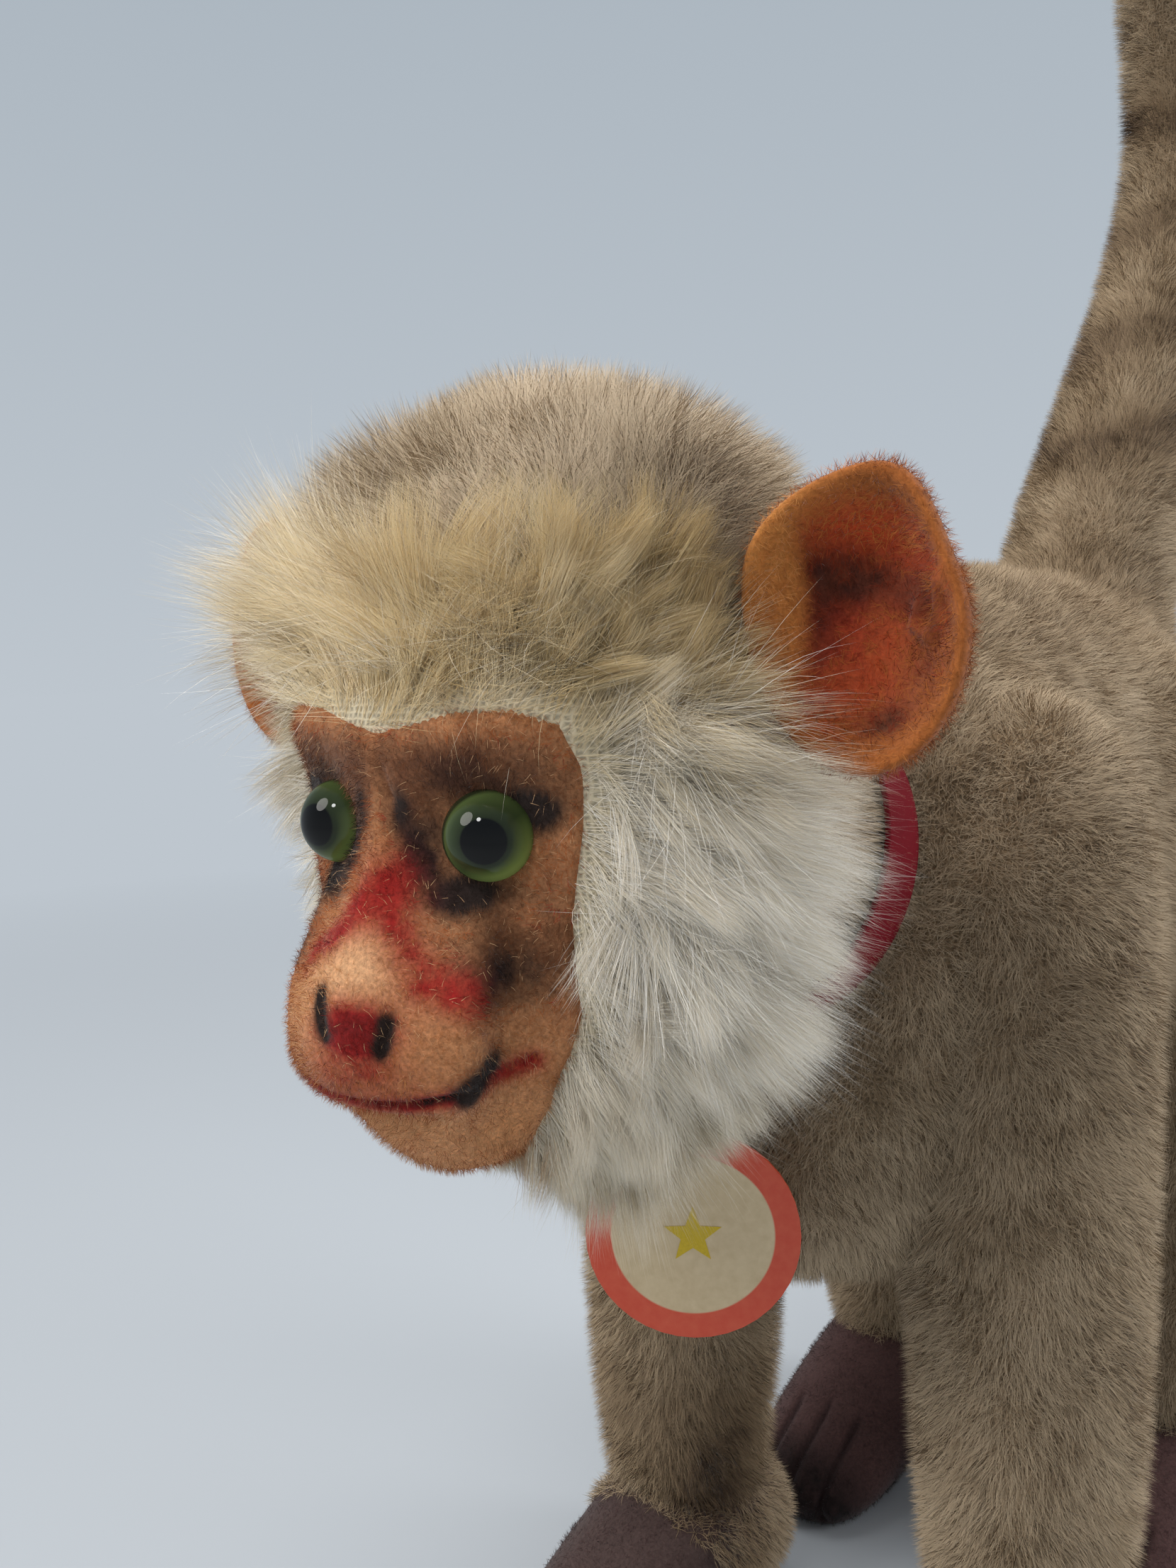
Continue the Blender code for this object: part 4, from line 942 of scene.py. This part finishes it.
def make_mane():
    roots, normals = head_skin.roots(40, mane_density, 21)
    random = np.random.default_rng(22)
    local = on_head(roots)
    x, _, z = local.T
    wide = np.abs(x)
    band = soft_step(0, 8, z)
    beard = soft_step(-20, -36, z)
    near_felt = soft_step(-6, -1, face_depth(local))
    far = soft_step(2, -16, x)
    far_brow = far * soft_step(0, 10, z)
    far_top = far * soft_step(8, 22, z)
    far_cheek = far * soft_step(12, -6, z)
    temple = soft_step(18, 26, wide) * soft_step(-4, 1, z) * soft_step(14, 8, z)
    straw = band * (0.8 + 0.22 * noise(roots, 5, 23)) * (0.1 + 0.9 * soft_step(-22, 0, x))
    straw = straw * (1 - 0.7 * temple)
    colours = blend(WHITE_FUR, STRAW_FUR, np.clip(straw, 0, 1))
    # A warm brown painted shade by the left ear, in the gap behind the band's tips.
    colours = blend(colours, srgb(184, 140, 74), 0.7 * blob(local, (27, -3, 24), (6, 7, 8)))
    # Besides the random tone, the band on the right side and the beard under the chin are darker, painted
    # shade.
    colours = colours * (random.uniform(0.84, 1.06, len(roots)) - 0.14 * far * band - 0.12 * beard)[:, None]
    near_ear = soft_step(16, 24, x) * soft_step(8, 15, z)
    under_jaw = soft_step(-39, -42, z) * soft_step(16, 10, wide)
    over_far_ear = far * soft_step(3, 7, z) * soft_step(13, 9, z) * soft_step(-14, -20, x)
    length = 17 - 1.5 * band + 0.5 * beard + 1.5 * far_brow + 3.5 * far_top + 3 * temple
    length = length * (1 - 0.4 * near_felt) * (1 - 0.55 * far_cheek) * (1 - 0.38 * near_ear)
    length = length * (1 - 0.5 * under_jaw) * (1 - 0.55 * over_far_ear)
    length = length * random.uniform(0.72, 1.08, len(roots))
    lean = 0.45 + 0.05 * band + 0.1 * near_felt + 0.15 * beard - 0.2 * far_brow + 0.2 * far_top
    habit = {"stray": 0.13, "wave": 0.42, "lock": 2.4, "gather": 0.64, "differ": 0.24}
    lines = comb(roots, normals, mane_way(local), length, lean, 4, 24, **habit)
    fibres("mane", "head", "long_mohair", lines, normals, 0.05, colours, 0.55)
    some = random.choice(np.flatnonzero(near_felt < 0.05), len(roots) // 14, replace=False)
    way = mane_way(local[some])
    habit = {"stray": 0.4, "wave": 0.9, "gather": 0}
    strays = comb(roots[some], normals[some], way, length[some] * 1.15, 0.45, 6, 25, **habit)
    # The strays are lighter than the rest, painted glints of single glossy hairs.
    fibres("mane_strays", "head", "long_mohair", strays, normals[some], 0.055, colours[some] * 1.3, 0.2)


def crown_area(points):
    """Behind the band, and clear of the face and of the neck."""
    local = on_head(points)
    from_axis = np.linalg.norm(np.cross(points - NECK, NECK_AXIS), axis=1)
    return ~in_band(local) & (local[:, 1] > -24) & (from_axis > 20 * MM)


def make_crown():
    roots, normals = head_skin.roots(12, crown_area, 31)
    random = np.random.default_rng(32)
    local = on_head(roots)
    x, _, z = local.T
    # A darker patch on the right of the crown just behind the band, painted shade under the band's tips.
    dark = 0.4 * blob(local, (-10, -10, 37), (7, 9, 5))
    shade = 1 + 0.12 * noise(roots, 2.5, 33) + random.normal(0, 0.08, len(roots)) - dark
    colours = srgb(208, 189, 160) * np.clip(shade, 0.2, 2)[:, None]
    # A warm brown painted shade by both ears, in the gap behind the band's tips.
    tint = 0.8 * blob(mirrored(local), (27, -2, 27), (7, 7, 7))
    colours = blend(colours, srgb(176, 128, 62), tint)
    way = unit(np.tile((0, 0.6, 0.1), (len(roots), 1)))
    sides = soft_step(8, 22, np.abs(x)) * soft_step(10, 30, z)
    length = random.uniform(5, 7, len(roots)) + (2 + 3 * soft_step(-4, -16, x)) * sides
    habit = {"stray": 0.25, "wave": 0.4, "lock": 1.5, "gather": 0.3, "differ": 0.08}
    lines = comb(roots, normals, way, length, 0.2, 3, 34, **habit)
    fibres("crown", "head", "crown_mohair", lines, normals, 0.08, colours)


# The eyes: a domed ball of glass with its iris and pupil

# Rings of the iris from its middle outward: share of the radius and colour on screen
IRIS = (
    (0, (3, 3, 3)), (0.47, (3, 3, 3)), (0.51, (34, 42, 25)),
    (0.75, (50, 62, 36)), (0.93, (72, 86, 48)), (1, (34, 40, 24)),
)


def facing_front(place, turn):
    """The space of a part at this place whose own z looks forward, turned aside by this angle."""
    return Matrix.Translation(place) @ (Matrix.Rotation(turn, 4, "Z") @ Matrix.Rotation(math.pi / 2, 4, "X"))


def eye_material():
    """A black pupil and a green iris under clear glass, with a painted glow low down on one side where light
    through the glass would gather.
    """
    material, tree, shader = new_material("eye_glass")
    split = add_node(tree, "SeparateXYZ", {"Vector": object_place(tree)}).outputs
    aside = calculate(tree, "SUBTRACT", split["X"], PUPIL_SHIFT * MM)
    flat = add_node(tree, "CombineXYZ", {"X": aside, "Y": split["Y"]}).outputs["Vector"]
    share = calculate(tree, "DIVIDE", length_of(tree, flat), EYE_RADIUS * MM)
    ramp = add_node(tree, "ValToRGB", {"Fac": share})
    elements = ramp.color_ramp.elements
    for _ in IRIS[2:]:
        elements.new(0.5)
    for element, (position, colour) in zip(elements, IRIS):
        element.position = position
        element.color = rgba(srgb(*colour))
    # Painted light: a lime glow low on one side of the iris, where light through the glass would gather.
    low = remap(tree, calculate(tree, "SUBTRACT", split["X"], split["Y"]), 1.5 * MM, 6.5 * MM)
    caustic_glow = calculate(tree, "MULTIPLY", low, remap(tree, share, 0.56, 0.8))
    colour = mixed(tree, caustic_glow, ramp.outputs["Color"], rgba(srgb(122, 140, 74)))
    fill(shader, {"Base Color": colour, "Roughness": 0.2, "Specular IOR Level": 0})
    fill(shader, {"Coat Weight": 0.5, "Coat Roughness": 0.02})
    return material


def no_paint(points):
    return np.zeros((len(points), 3))


def make_eyes():
    material = eye_material()
    back = math.radians(123)
    arc = np.linspace(0, back, 40)
    profile = [*zip(np.sin(arc), np.cos(arc)), (0, math.cos(back))]
    turn = np.linspace(0, math.tau, 65)
    ball = np.array([[(r * math.cos(t), r * math.sin(t), z) for t in turn] for r, z in profile])
    skin = Skin(ball * EYE_RADIUS * MM)
    for side, word in SIDES:
        obj = skin_object(f"glass_eye_{word}", skin, material, "head", no_paint)
        place = HEAD + (np.multiply(EYE, (side, 1, 1)) + EYE_SHIFT) * MM
        obj.matrix_world = facing_front(place, EYE_TURNS[side])
        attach(obj, "head")
        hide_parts(f"eye_{word}", f"pupil_{word}")


# The ears: cups of felt with a thick rim, airbrushed inside and darkened there with painted shade

EAR_OUTLINE = (
    (3.6, 15.6), (-2.2, 14.4), (-7.4, 12), (-11.2, 8.2), (-12, 4), (-11.6, -1), (-10.4, -6), (-7, -11.6),
    (-1.5, -15.4), (3.6, -15.2), (8.8, -11.4), (11.4, -6.2), (12.2, -1), (11.5, 3), (10, 6.4), (8.8, 9.6),
    (6.8, 13.4),
)
EAR_PROFILE = (
    (0, -7.4), (0.22, -7.2), (0.42, -6.2), (0.6, -4.6), (0.74, -2.8), (0.86, -0.9), (0.95, 0.5),
    (1.02, 0.6), (1.04, -0.6), (1, -2.4), (0.84, -5.6), (0.6, -8), (0.3, -9.4), (0, -9.8),
)
EAR_CURL = ((9, 4), (8.4, 0.5), (6.6, -1.6), (4.6, -0.6), (5.2, 1.4))

# Spots in the bowl of the ear, airbrush and painted shade of its hollow together: tint, strength, centre and
# radii
EAR_SPOTS = (
    (srgb(204, 78, 38), 1, (1, 9), (5.5, 3.4)),
    (srgb(140, 44, 26), 0.8, (-3.5, -1), (4, 5)),
    (BROWN, 0.6, (6.5, -5.5), (2.4, 4)),
    (SOOT, 0.95, (-2.4, 4.6), (4.6, 2.1)),
    (SOOT, 0.5, (-6.2, 1), (1.2, 4.5)),
    (SOOT, 0.6, (5.6, 2.2), (2.6, 1.4)),
    (SOOT, 1.2, (3, -11.4), (2.6, 1.7)),
)


def ear_frame(side):
    return facing_front(HEAD + np.multiply(EAR_CENTRE, (side, 1, 1)) * MM, side * EAR_TURN)


def on_ear(points, side):
    """Places on one ear, outward and upward, their height, and their share of the way out to the rim."""
    local = placed(points, ear_frame(side).inverted()) / MM * (side, 1, 1)
    return local[:, :2], local[:, 2], np.linalg.norm(local[:, :2] / EAR_RADII, axis=1)


def ear_paint(points, side):
    """Orange felt with a red, brown and sooty bowl, airbrush and painted shade of the hollow together, and a
    painted highlight on the upper inner rim.
    """
    flat, height, share = on_ear(points, side)
    # The bowl's paint ends sharply on the side towards the head: a painted shadow edge of the rim's wall.
    inside = (height > 7.8 * share**2.2 - 8.7) * soft_step(0.9, 0.6, share) * soft_step(-8, -5.5, flat[:, 0])
    paint = Paint(points, EAR_ORANGE, 71)
    # Painted highlight: the upper inner rim is lighter orange.
    paint.spot(flat, srgb(208, 140, 72), (-9, 7), (5, 8), 0.8)
    paint.lay(srgb(164, 76, 40), 0.9 * inside)
    for tint, strength, centre, radii in EAR_SPOTS:
        paint.spot(flat, tint, centre, radii, strength * inside)
    return paint.colour


def ear_curl(points, side):
    """The ridge that curls into the bowl from the rim."""
    flat, height, share = on_ear(points, side)
    front = soft_step(-8, -6, height + 1.5) * soft_step(0.95, 0.85, share)
    return 0.9 * near_path(flat, EAR_CURL, 0.9) * front


def make_ears():
    felt = painted_cloth("ear_felt_paint", 0.5, 0.15)
    for side, word in SIDES:
        outline = np.multiply(EAR_OUTLINE, (side, 1))
        skin = cup(outline, EAR_PROFILE, 90, 110, ear_frame(side)).moved(partial(ear_curl, side=side))
        paint = partial(ear_paint, side=side)
        obj = skin_object(f"felt_ear_{word}", skin, felt, "head", paint)
        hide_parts(f"ear_{word}")
        roots, normals = skin.roots(12, everywhere, 75 + side)
        colours = uneven(1.2 * paint(roots), roots, 0.2, 0.6, 77)
        fuzz(f"ear_fuzz_{word}", "head", "ear_felt", roots, normals, colours, 78, 79, 1.5, 0.5, stray=0.6)


# The collar strap and the card tag

COLLAR_RADIUS = 25.2
COLLAR_THICKNESS = 1.2
COLLAR_WIDTH = 9
COLLAR_LAP = math.radians(24)
COLLAR_EDGE = 0.35
TAG_RING = 11.4
TAG_TURN = math.radians(35)
STAR_RADIUS = 4.2
STAR_INNER = 0.42


def collar_colour(points):
    return uneven(srgb(112, 8, 24), points, 0.1, 6, 85)


def flattened(values):
    """A sine or cosine that dwells near its ends, so that a ring becomes a strap."""
    return np.sign(values) * np.abs(values) ** COLLAR_EDGE


def make_collar():
    share = np.linspace(0, 1, 220)[:, None]
    angle = -math.pi / 2 - COLLAR_LAP / 2 + (math.tau + COLLAR_LAP) * share
    over = np.clip((share - 0.85) / 0.1, 0, 1) * (COLLAR_THICKNESS + 0.3)
    turn = np.linspace(0, math.tau, 25)
    closed = np.minimum(1, np.minimum(share, 1 - share) * 400)
    out = flattened(np.cos(turn)) * COLLAR_THICKNESS / 2 * closed
    across = flattened(np.sin(turn)) * COLLAR_WIDTH / 2 * closed
    radius = COLLAR_RADIUS + COLLAR_THICKNESS / 2 + over + out
    local = np.stack([radius * np.cos(angle), radius * np.sin(angle), across], axis=2) * MM
    upright = Matrix.Rotation(math.pi / 2 - math.asin(NECK_AXIS[2]), 4, "X")
    skin = Skin(placed(local, Matrix.Translation(COLLAR_CENTRE) @ upright))
    cloth = painted_cloth("collar_weave", 0.35, 0.05, roughness=0.8, sheen=0, contrast=0.12)
    strap = skin_object("collar_band", skin, cloth, "collar", collar_colour)
    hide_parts("collar_strap")


def card_material(centre):
    """Cream card with a printed orange-red rim, a little rubbed and foxed."""
    material, tree, shader = new_material("tag_print")
    place = object_place(tree)
    away = add_node(tree, "VectorMath", {0: place, 1: tuple(centre)}, operation="DISTANCE").outputs["Value"]
    ring = remap(tree, away, (TAG_RING - 0.12) * MM, (TAG_RING + 0.12) * MM)
    worn = remap(tree, grain_noise(tree, place, 1.4, 5), 0.2, 0.7)
    card = mixed(tree, worn, rgba(srgb(188, 166, 128)), rgba(srgb(204, 184, 148)))
    rim = mixed(tree, worn, rgba(srgb(204, 84, 54)), rgba(srgb(196, 66, 38)))
    fill(shader, {"Base Color": mixed(tree, ring, card, rim), "Roughness": 0.45})
    return material


def make_tag():
    low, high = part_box("chest_tag")
    centre = (low + high) / 2
    frame["nodes"]["chest_tag"].material_slots[0].material = card_material(centre)
    tips = [(STAR_RADIUS * (STAR_INNER if i % 2 else 1), math.tau * i / 10) for i in range(10)]
    points = [(r * math.sin(angle), r * math.cos(angle), z) for z in (0.3, 0.48) for r, angle in tips]
    sides = [(i, (i + 1) % 10, 10 + (i + 1) % 10, 10 + i) for i in range(10)]
    faces = [tuple(range(9, -1, -1)), tuple(range(10, 20)), *sides]
    ink = painted_cloth("star_ink", 0.4, 0.01, roughness=0.4, sheen=0, contrast=0.1)
    points = placed(np.array(points) * MM, facing_front(centre, TAG_TURN))
    star = add_mesh("tag_star", points, faces, np.tile(srgb(196, 168, 44), (20, 1)), ink, "tag")
    star.data.shade_flat()


# The body, legs and tail

# Dark spots on the right front leg: airbrushing, and painted shade where the body shades the leg.
LEG_MARKS_AND_SHADE = ((-43, -52, 40), (-23, -38, 27), (-20, -38, 45), (-24, -44, 36))
TAIL_BANDS = (292, 268, 244, 228)
TAIL_SPOT = (0, 100, 217)
BRUSHED = {"torso": (0, 0.6, -0.5), "tail": (0, 0.3, 0.8)}
BRUSHED_DOWN = (0, 0.2, -1)


# The backing under the body's fur, darker than the fur as painted shade deep in the pile.
def body_colour(points):
    return uneven(srgb(146, 124, 96), points, 0.2, 5, 41)


def fur_colour(roots, seed):
    """Taupe with lighter and darker tufts, the airbrushed bands and spot of the tail, dark spots on a front
    leg that are airbrush and painted shade together, and painted shade on the top of the back.
    """
    random = np.random.default_rng(seed)
    place = roots / MM
    _, y, z = place.T
    shade = 1 + 0.14 * noise(roots, 2.8, seed) + 0.1 * noise(roots, 12, seed + 1)
    marks_and_shade = sum(0.45 * blob(place, mark, (6, 7, 8)) for mark in LEG_MARKS_AND_SHADE)
    # Painted shade: the top of the back, ahead of the rump, is darker.
    shade -= 0.16 * soft_step(165, 190, z) * soft_step(80, 60, y)
    tilted = z - 0.25 * (y - 100) + 4 * noise(roots, 18, seed + 2)
    bands = sum(np.exp(-(((tilted - band) / 5) ** 2)) for band in TAIL_BANDS)
    marks_and_shade = marks_and_shade + soft_step(206, 214, z) * (0.1 + 0.42 * bands) + 0.75 * blob(place, TAIL_SPOT, (14, 7, 5))
    return TAUPE_FUR * np.clip(shade - marks_and_shade + random.normal(0, 0.06, len(roots)), 0.15, 1.5)[:, None]


def plush(name, roots, normals, way, length, lean, width, seed):
    """Short mohair that is brushed one way."""
    way = unit(np.tile(way, (len(roots), 1)))
    habit = {"stray": 0.28, "wave": 0.35, "lock": 1.6, "gather": 0.35, "differ": 0.06}
    lines = comb(roots, normals, way, length, lean, 2, seed, **habit)
    fibres(name, "body", "mohair", lines, normals, width, fur_colour(roots, seed + 1))


def neighbours(name, forms):
    """The torso's neighbours are all other forms. Theirs is the torso."""
    return [other for key, other in forms.items() if "torso" in (name, key) and key != name]


def swollen(skin, others, reach=16):
    """The form drawn out softly where others meet it, so that they join without a groove."""
    trees = [other.tree() for other in others]

    def swell(points):
        away = [[tree.find_nearest(Vector(point))[3] for point in points] for tree in trees]
        share = np.clip(1 - np.min(away, axis=0) / (reach * MM), 0, 1)
        return share**2 * reach / 4

    return skin.moved(swell)


def make_body():
    weave = backing_weave("body_weave")
    plain = {
        "torso": loft(torso_sections(), inset=PILE, columns=100),
        "tail": loft(tail_sections(), 0, SLIM_RING, PILE, 140, 60),
    }
    for side, word in SIDES:
        for kind, x, y, steps in (("front", FORE_X, FORE_Y, FRONT_LEG), ("hind", HIND_X, HIND_Y, HIND_LEG)):
            plain[f"{kind}_leg_{word}"] = loft(leg_sections(y, steps), side * x, SLIM_RING, PILE, 100, 70)
    smooth = {name: swollen(skin, neighbours(name, plain)) for name, skin in plain.items()}
    for number, (name, skin) in enumerate(smooth.items()):
        obj = skin_object(f"{name}_backing", skin, weave, "body", body_colour)
        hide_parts("body_cover" if name == "torso" else name)
        trees = [other.tree() for other in neighbours(name, smooth)]
        seed = 50 + 10 * number
        roots, normals = skin.roots(9, partial(outside, trees=trees), seed)
        length = np.random.default_rng(seed + 1).uniform(3.4, 4.8, len(roots))
        plush(f"{name}_fur", roots, normals, BRUSHED.get(name, BRUSHED_DOWN), length, 0.2, 0.1, seed + 2)


# The felt hands and feet


def flat_sole(points):
    lowered = points.copy()
    lowered[:, 2] = np.maximum(lowered[:, 2], 0.3 * MM)
    return lowered


def toe_grooves(local):
    """How deep the seams between the toes are."""
    x, y, z = local.T
    depth = sum(np.exp(-(((x - line) / 0.8) ** 2)) for line in TOE_LINES)
    return 0.9 * depth * soft_step(20, 13, y - TOES) * soft_step(1, 3, z)


def inside_cuff(kind, local):
    """How far inside the leg's fur a place is. On the hands it hangs over the heel."""
    over = local[:, 2] - CUFF_Z
    return np.maximum(over, 0.8 * local[:, 1] + 11.6 + 0.45 * over) if kind == "hand" else over


def foot_paint(kind, points, local):
    """Dark felt, sooty at the tips of the toes and in the seams between them."""
    felt, tips = (HAND_FELT, 0.25) if kind == "hand" else (FOOT_FELT, 0.8)
    paint = Paint(points, felt, 81)
    paint.lay(srgb(26, 18, 18), tips * soft_step(12, 2, local[:, 1] - TOES))
    paint.lay(srgb(40, 26, 28), 0.7 * soft_step(0, 0.7, toe_grooves(local)))
    return paint.colour


def make_foot(kind, word, x, y, felt, seed):
    """One hand or foot, with the fuzz on its felt and the cuff of the leg's fur."""

    def on_foot(points):
        return points / MM - (x, y, 0)

    def paint(points):
        return foot_paint(kind, points, on_foot(points))

    def bare(points):
        return (points[:, 2] > 1 * MM) & (inside_cuff(kind, on_foot(points)) < 1)

    def covered(points):
        return (points[:, 2] > 2 * MM) & (inside_cuff(kind, on_foot(points)) > 0)

    skin = loft(foot_sections(y), x, SLIM_RING, 0, 120, 110, flat_sole)
    skin = skin.moved(lambda points: -toe_grooves(on_foot(points)))
    obj = skin_object(f"felt_{kind}_{word}", skin, felt, "body", paint)
    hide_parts(f"{kind}_{word}")
    roots, normals = skin.roots(5, bare, seed)
    colours = uneven(paint(roots), roots, 0.3, 0.7, seed)
    fuzz(f"{kind}_fuzz_{word}", "body", "foot_felt", roots, normals, colours, seed, seed, 1.1, width=0.07)
    roots, normals = skin.roots(8, covered, seed + 1)
    length = np.random.default_rng(seed).uniform(2.6, 3.6, len(roots))
    plush(f"{kind}_cuff_{word}", roots, normals, (0, 0.1, -1), length, 0.3, 0.11, seed + 2)


def make_feet():
    felt = painted_cloth("dark_felt", 0.6, 0.15)
    for number, (kind, x, y) in enumerate((("hand", FORE_X, FORE_Y), ("foot", HIND_X, HIND_Y))):
        for side, word in SIDES:
            make_foot(kind, word, side * x, y, felt, 90 + 8 * number + 3 * side)


# What the solids keep of their own shape: wires, discs, washers, pin, rivet, thread and filling


def grained(name, colour, other, grain, roughness, metallic=0, stretch=(1, 1, 1)):
    """A material whose colour wanders between two shades along a grain."""
    material, tree, shader = new_material(name)
    drawn = add_node(tree, "Mapping", {"Vector": object_place(tree), "Scale": stretch}).outputs["Vector"]
    fine = grain_noise(tree, drawn, grain, 4)
    shade = mixed(tree, remap(tree, fine, 0.35, 0.65), rgba(srgb(*colour)), rgba(srgb(*other)))
    fill(shader, {"Base Color": shade, "Normal": bump(tree, fine, 0.05, 0.5)})
    fill(shader, {"Roughness": roughness, "Metallic": metallic})
    return material


def make_inner_materials():
    steel = grained("steel_wire", (176, 178, 180), (140, 142, 146), 0.6, 0.35, 1, (1, 1, 0.2))
    board = grained("pressed_board", (150, 112, 74), (120, 86, 56), 0.8, 0.9)
    brass = grained("worn_brass", (206, 172, 96), (170, 136, 70), 0.7, 0.35, 1)
    cotton = grained("cotton_thread", (226, 218, 200), (196, 186, 164), 0.3, 0.85)
    wool = grained("packed_wood_wool", (214, 188, 140), (176, 146, 98), 1.2, 0.9, 0, (1, 0.3, 1))
    wires = ("front_legs_wire", "hind_legs_wire", "tail_wire", "eye_wire_left", "eye_wire_right")
    kinds = {
        steel: (*wires, "washer_body", "washer_head", "split_pin"),
        board: ("neck_disc_body", "neck_disc_head"),
        brass: ("collar_rivet",),
        cotton: ("tag_thread",),
        wool: ("body_stuffing",),
    }
    for material, names in kinds.items():
        for name in names:
            frame["nodes"][name].material_slots[0].material = material


# Stage, light and camera

WORLD_LEVEL = 0.45
FLOOR_REACH = 4
CAMERA_AZIMUTH = math.radians(39.8)
CAMERA_ELEVATION = math.radians(6.6)
CAMERA_ROLL = math.radians(-1.5)
CAMERA_PLACE = np.array((114.9, -235.08, 186)) * MM
CAMERA_LENS = 32.34


def seen_directly(tree):
    """1 for rays from the camera and for those that a gloss or a glass sends on."""
    path = add_node(tree, "LightPath").outputs
    first = calculate(tree, "MAXIMUM", path["Is Camera Ray"], path["Is Glossy Ray"])
    return calculate(tree, "MAXIMUM", first, path["Is Transmission Ray"])


def mix_shaders(tree, share, first, second, output):
    """Ends a node tree in a mix of two shaders."""
    mix = add_node(tree, "MixShader", {0: share, 1: first, 2: second})
    fill(tree.nodes[output], {"Surface": mix.outputs["Shader"]})


def make_world():
    """Even light, behind which the camera sees a plain backdrop that turns darker upward."""
    world = bpy.data.worlds.new("studio")
    bpy.context.scene.world = world
    world.use_nodes = True
    tree = world.node_tree
    light = tree.nodes["Background"]
    fill(light, {"Color": (0.97, 0.98, 1, 1), "Strength": WORLD_LEVEL})
    direction = add_node(tree, "TexCoord").outputs["Generated"]
    height = add_node(tree, "SeparateXYZ", {"Vector": direction}).outputs["Z"]
    sky = mixed(tree, remap(tree, height, -0.05, 0.55), rgba(HORIZON), rgba(ZENITH))
    backdrop = add_node(tree, "Background", {"Color": sky}).outputs["Background"]
    mix_shaders(tree, seen_directly(tree), light.outputs["Background"], backdrop, "World Output")


def make_floor():
    """A pale floor that fades into the backdrop far away."""
    material, tree, shader = new_material("studio_floor")
    fill(shader, {"Base Color": rgba(FLOOR), "Roughness": 0.9})
    place = add_node(tree, "NewGeometry").outputs["Position"]
    far = remap(tree, length_of(tree, place), 0.15, 0.9)
    fade = calculate(tree, "MULTIPLY", far, seen_directly(tree))
    glow = add_node(tree, "Emission", {"Color": rgba(HORIZON), "Strength": 1}).outputs["Emission"]
    mix_shaders(tree, fade, shader.outputs["BSDF"], glow, "Material Output")
    mesh = bpy.data.meshes.new("studio_floor")
    places = [(x * FLOOR_REACH, y * FLOOR_REACH, 0) for x, y in ((-1, -1), (1, -1), (1, 1), (-1, 1))]
    mesh.from_pydata(places, [], [(0, 1, 2, 3)])
    mesh.materials.append(material)
    floor = bpy.data.objects.new("studio_floor", mesh)
    bpy.context.scene.collection.objects.link(floor)


def area_light(name, place, target, size, power, colour=(1, 1, 1)):
    lamp = bpy.data.lights.new(name, "AREA")
    lamp.shape = "DISK"
    lamp.size = size
    lamp.energy = power
    lamp.color = colour
    obj = bpy.data.objects.new(name, lamp)
    obj.location = place
    obj.rotation_euler = (Vector(target) - Vector(place)).to_track_quat("-Z", "Y").to_euler()
    bpy.context.scene.collection.objects.link(obj)


def make_lights():
    target = (0, -0.03, 0.13)
    area_light("key", (-0.35, -0.75, 0.75), target, 0.5, 4.4, (1, 0.97, 0.93))
    area_light("top", (0, 0.1, 0.95), target, 0.7, 3.2, (1, 0.99, 0.97))
    area_light("catch_light", (0.1, -0.53, 0.59), (0, -0.12, 0.16), 0.1, 0.8)
    area_light("back_right", (0.7, 0.35, 0.5), target, 0.4, 2.6)


def make_camera():
    data = bpy.data.cameras.new("camera")
    data.lens = CAMERA_LENS
    data.sensor_width = 36
    data.clip_start = 0.01
    camera = bpy.data.objects.new("camera", data)
    azimuth = Matrix.Rotation(CAMERA_AZIMUTH, 4, "Z")
    tilt = Matrix.Rotation(math.pi / 2 - CAMERA_ELEVATION, 4, "X")
    roll = Matrix.Rotation(CAMERA_ROLL, 4, "Z")
    camera.matrix_world = Matrix.Translation(CAMERA_PLACE) @ azimuth @ tilt @ roll
    bpy.context.scene.collection.objects.link(camera)
    bpy.context.scene.camera = camera


make_fibre_materials()
make_camera()
make_head()
make_mane()
make_crown()
make_ears()
make_eyes()
make_collar()
make_tag()
make_body()
make_feet()
make_inner_materials()
make_world()
make_floor()
make_lights()
bpy.context.scene.view_settings.view_transform = "Standard"
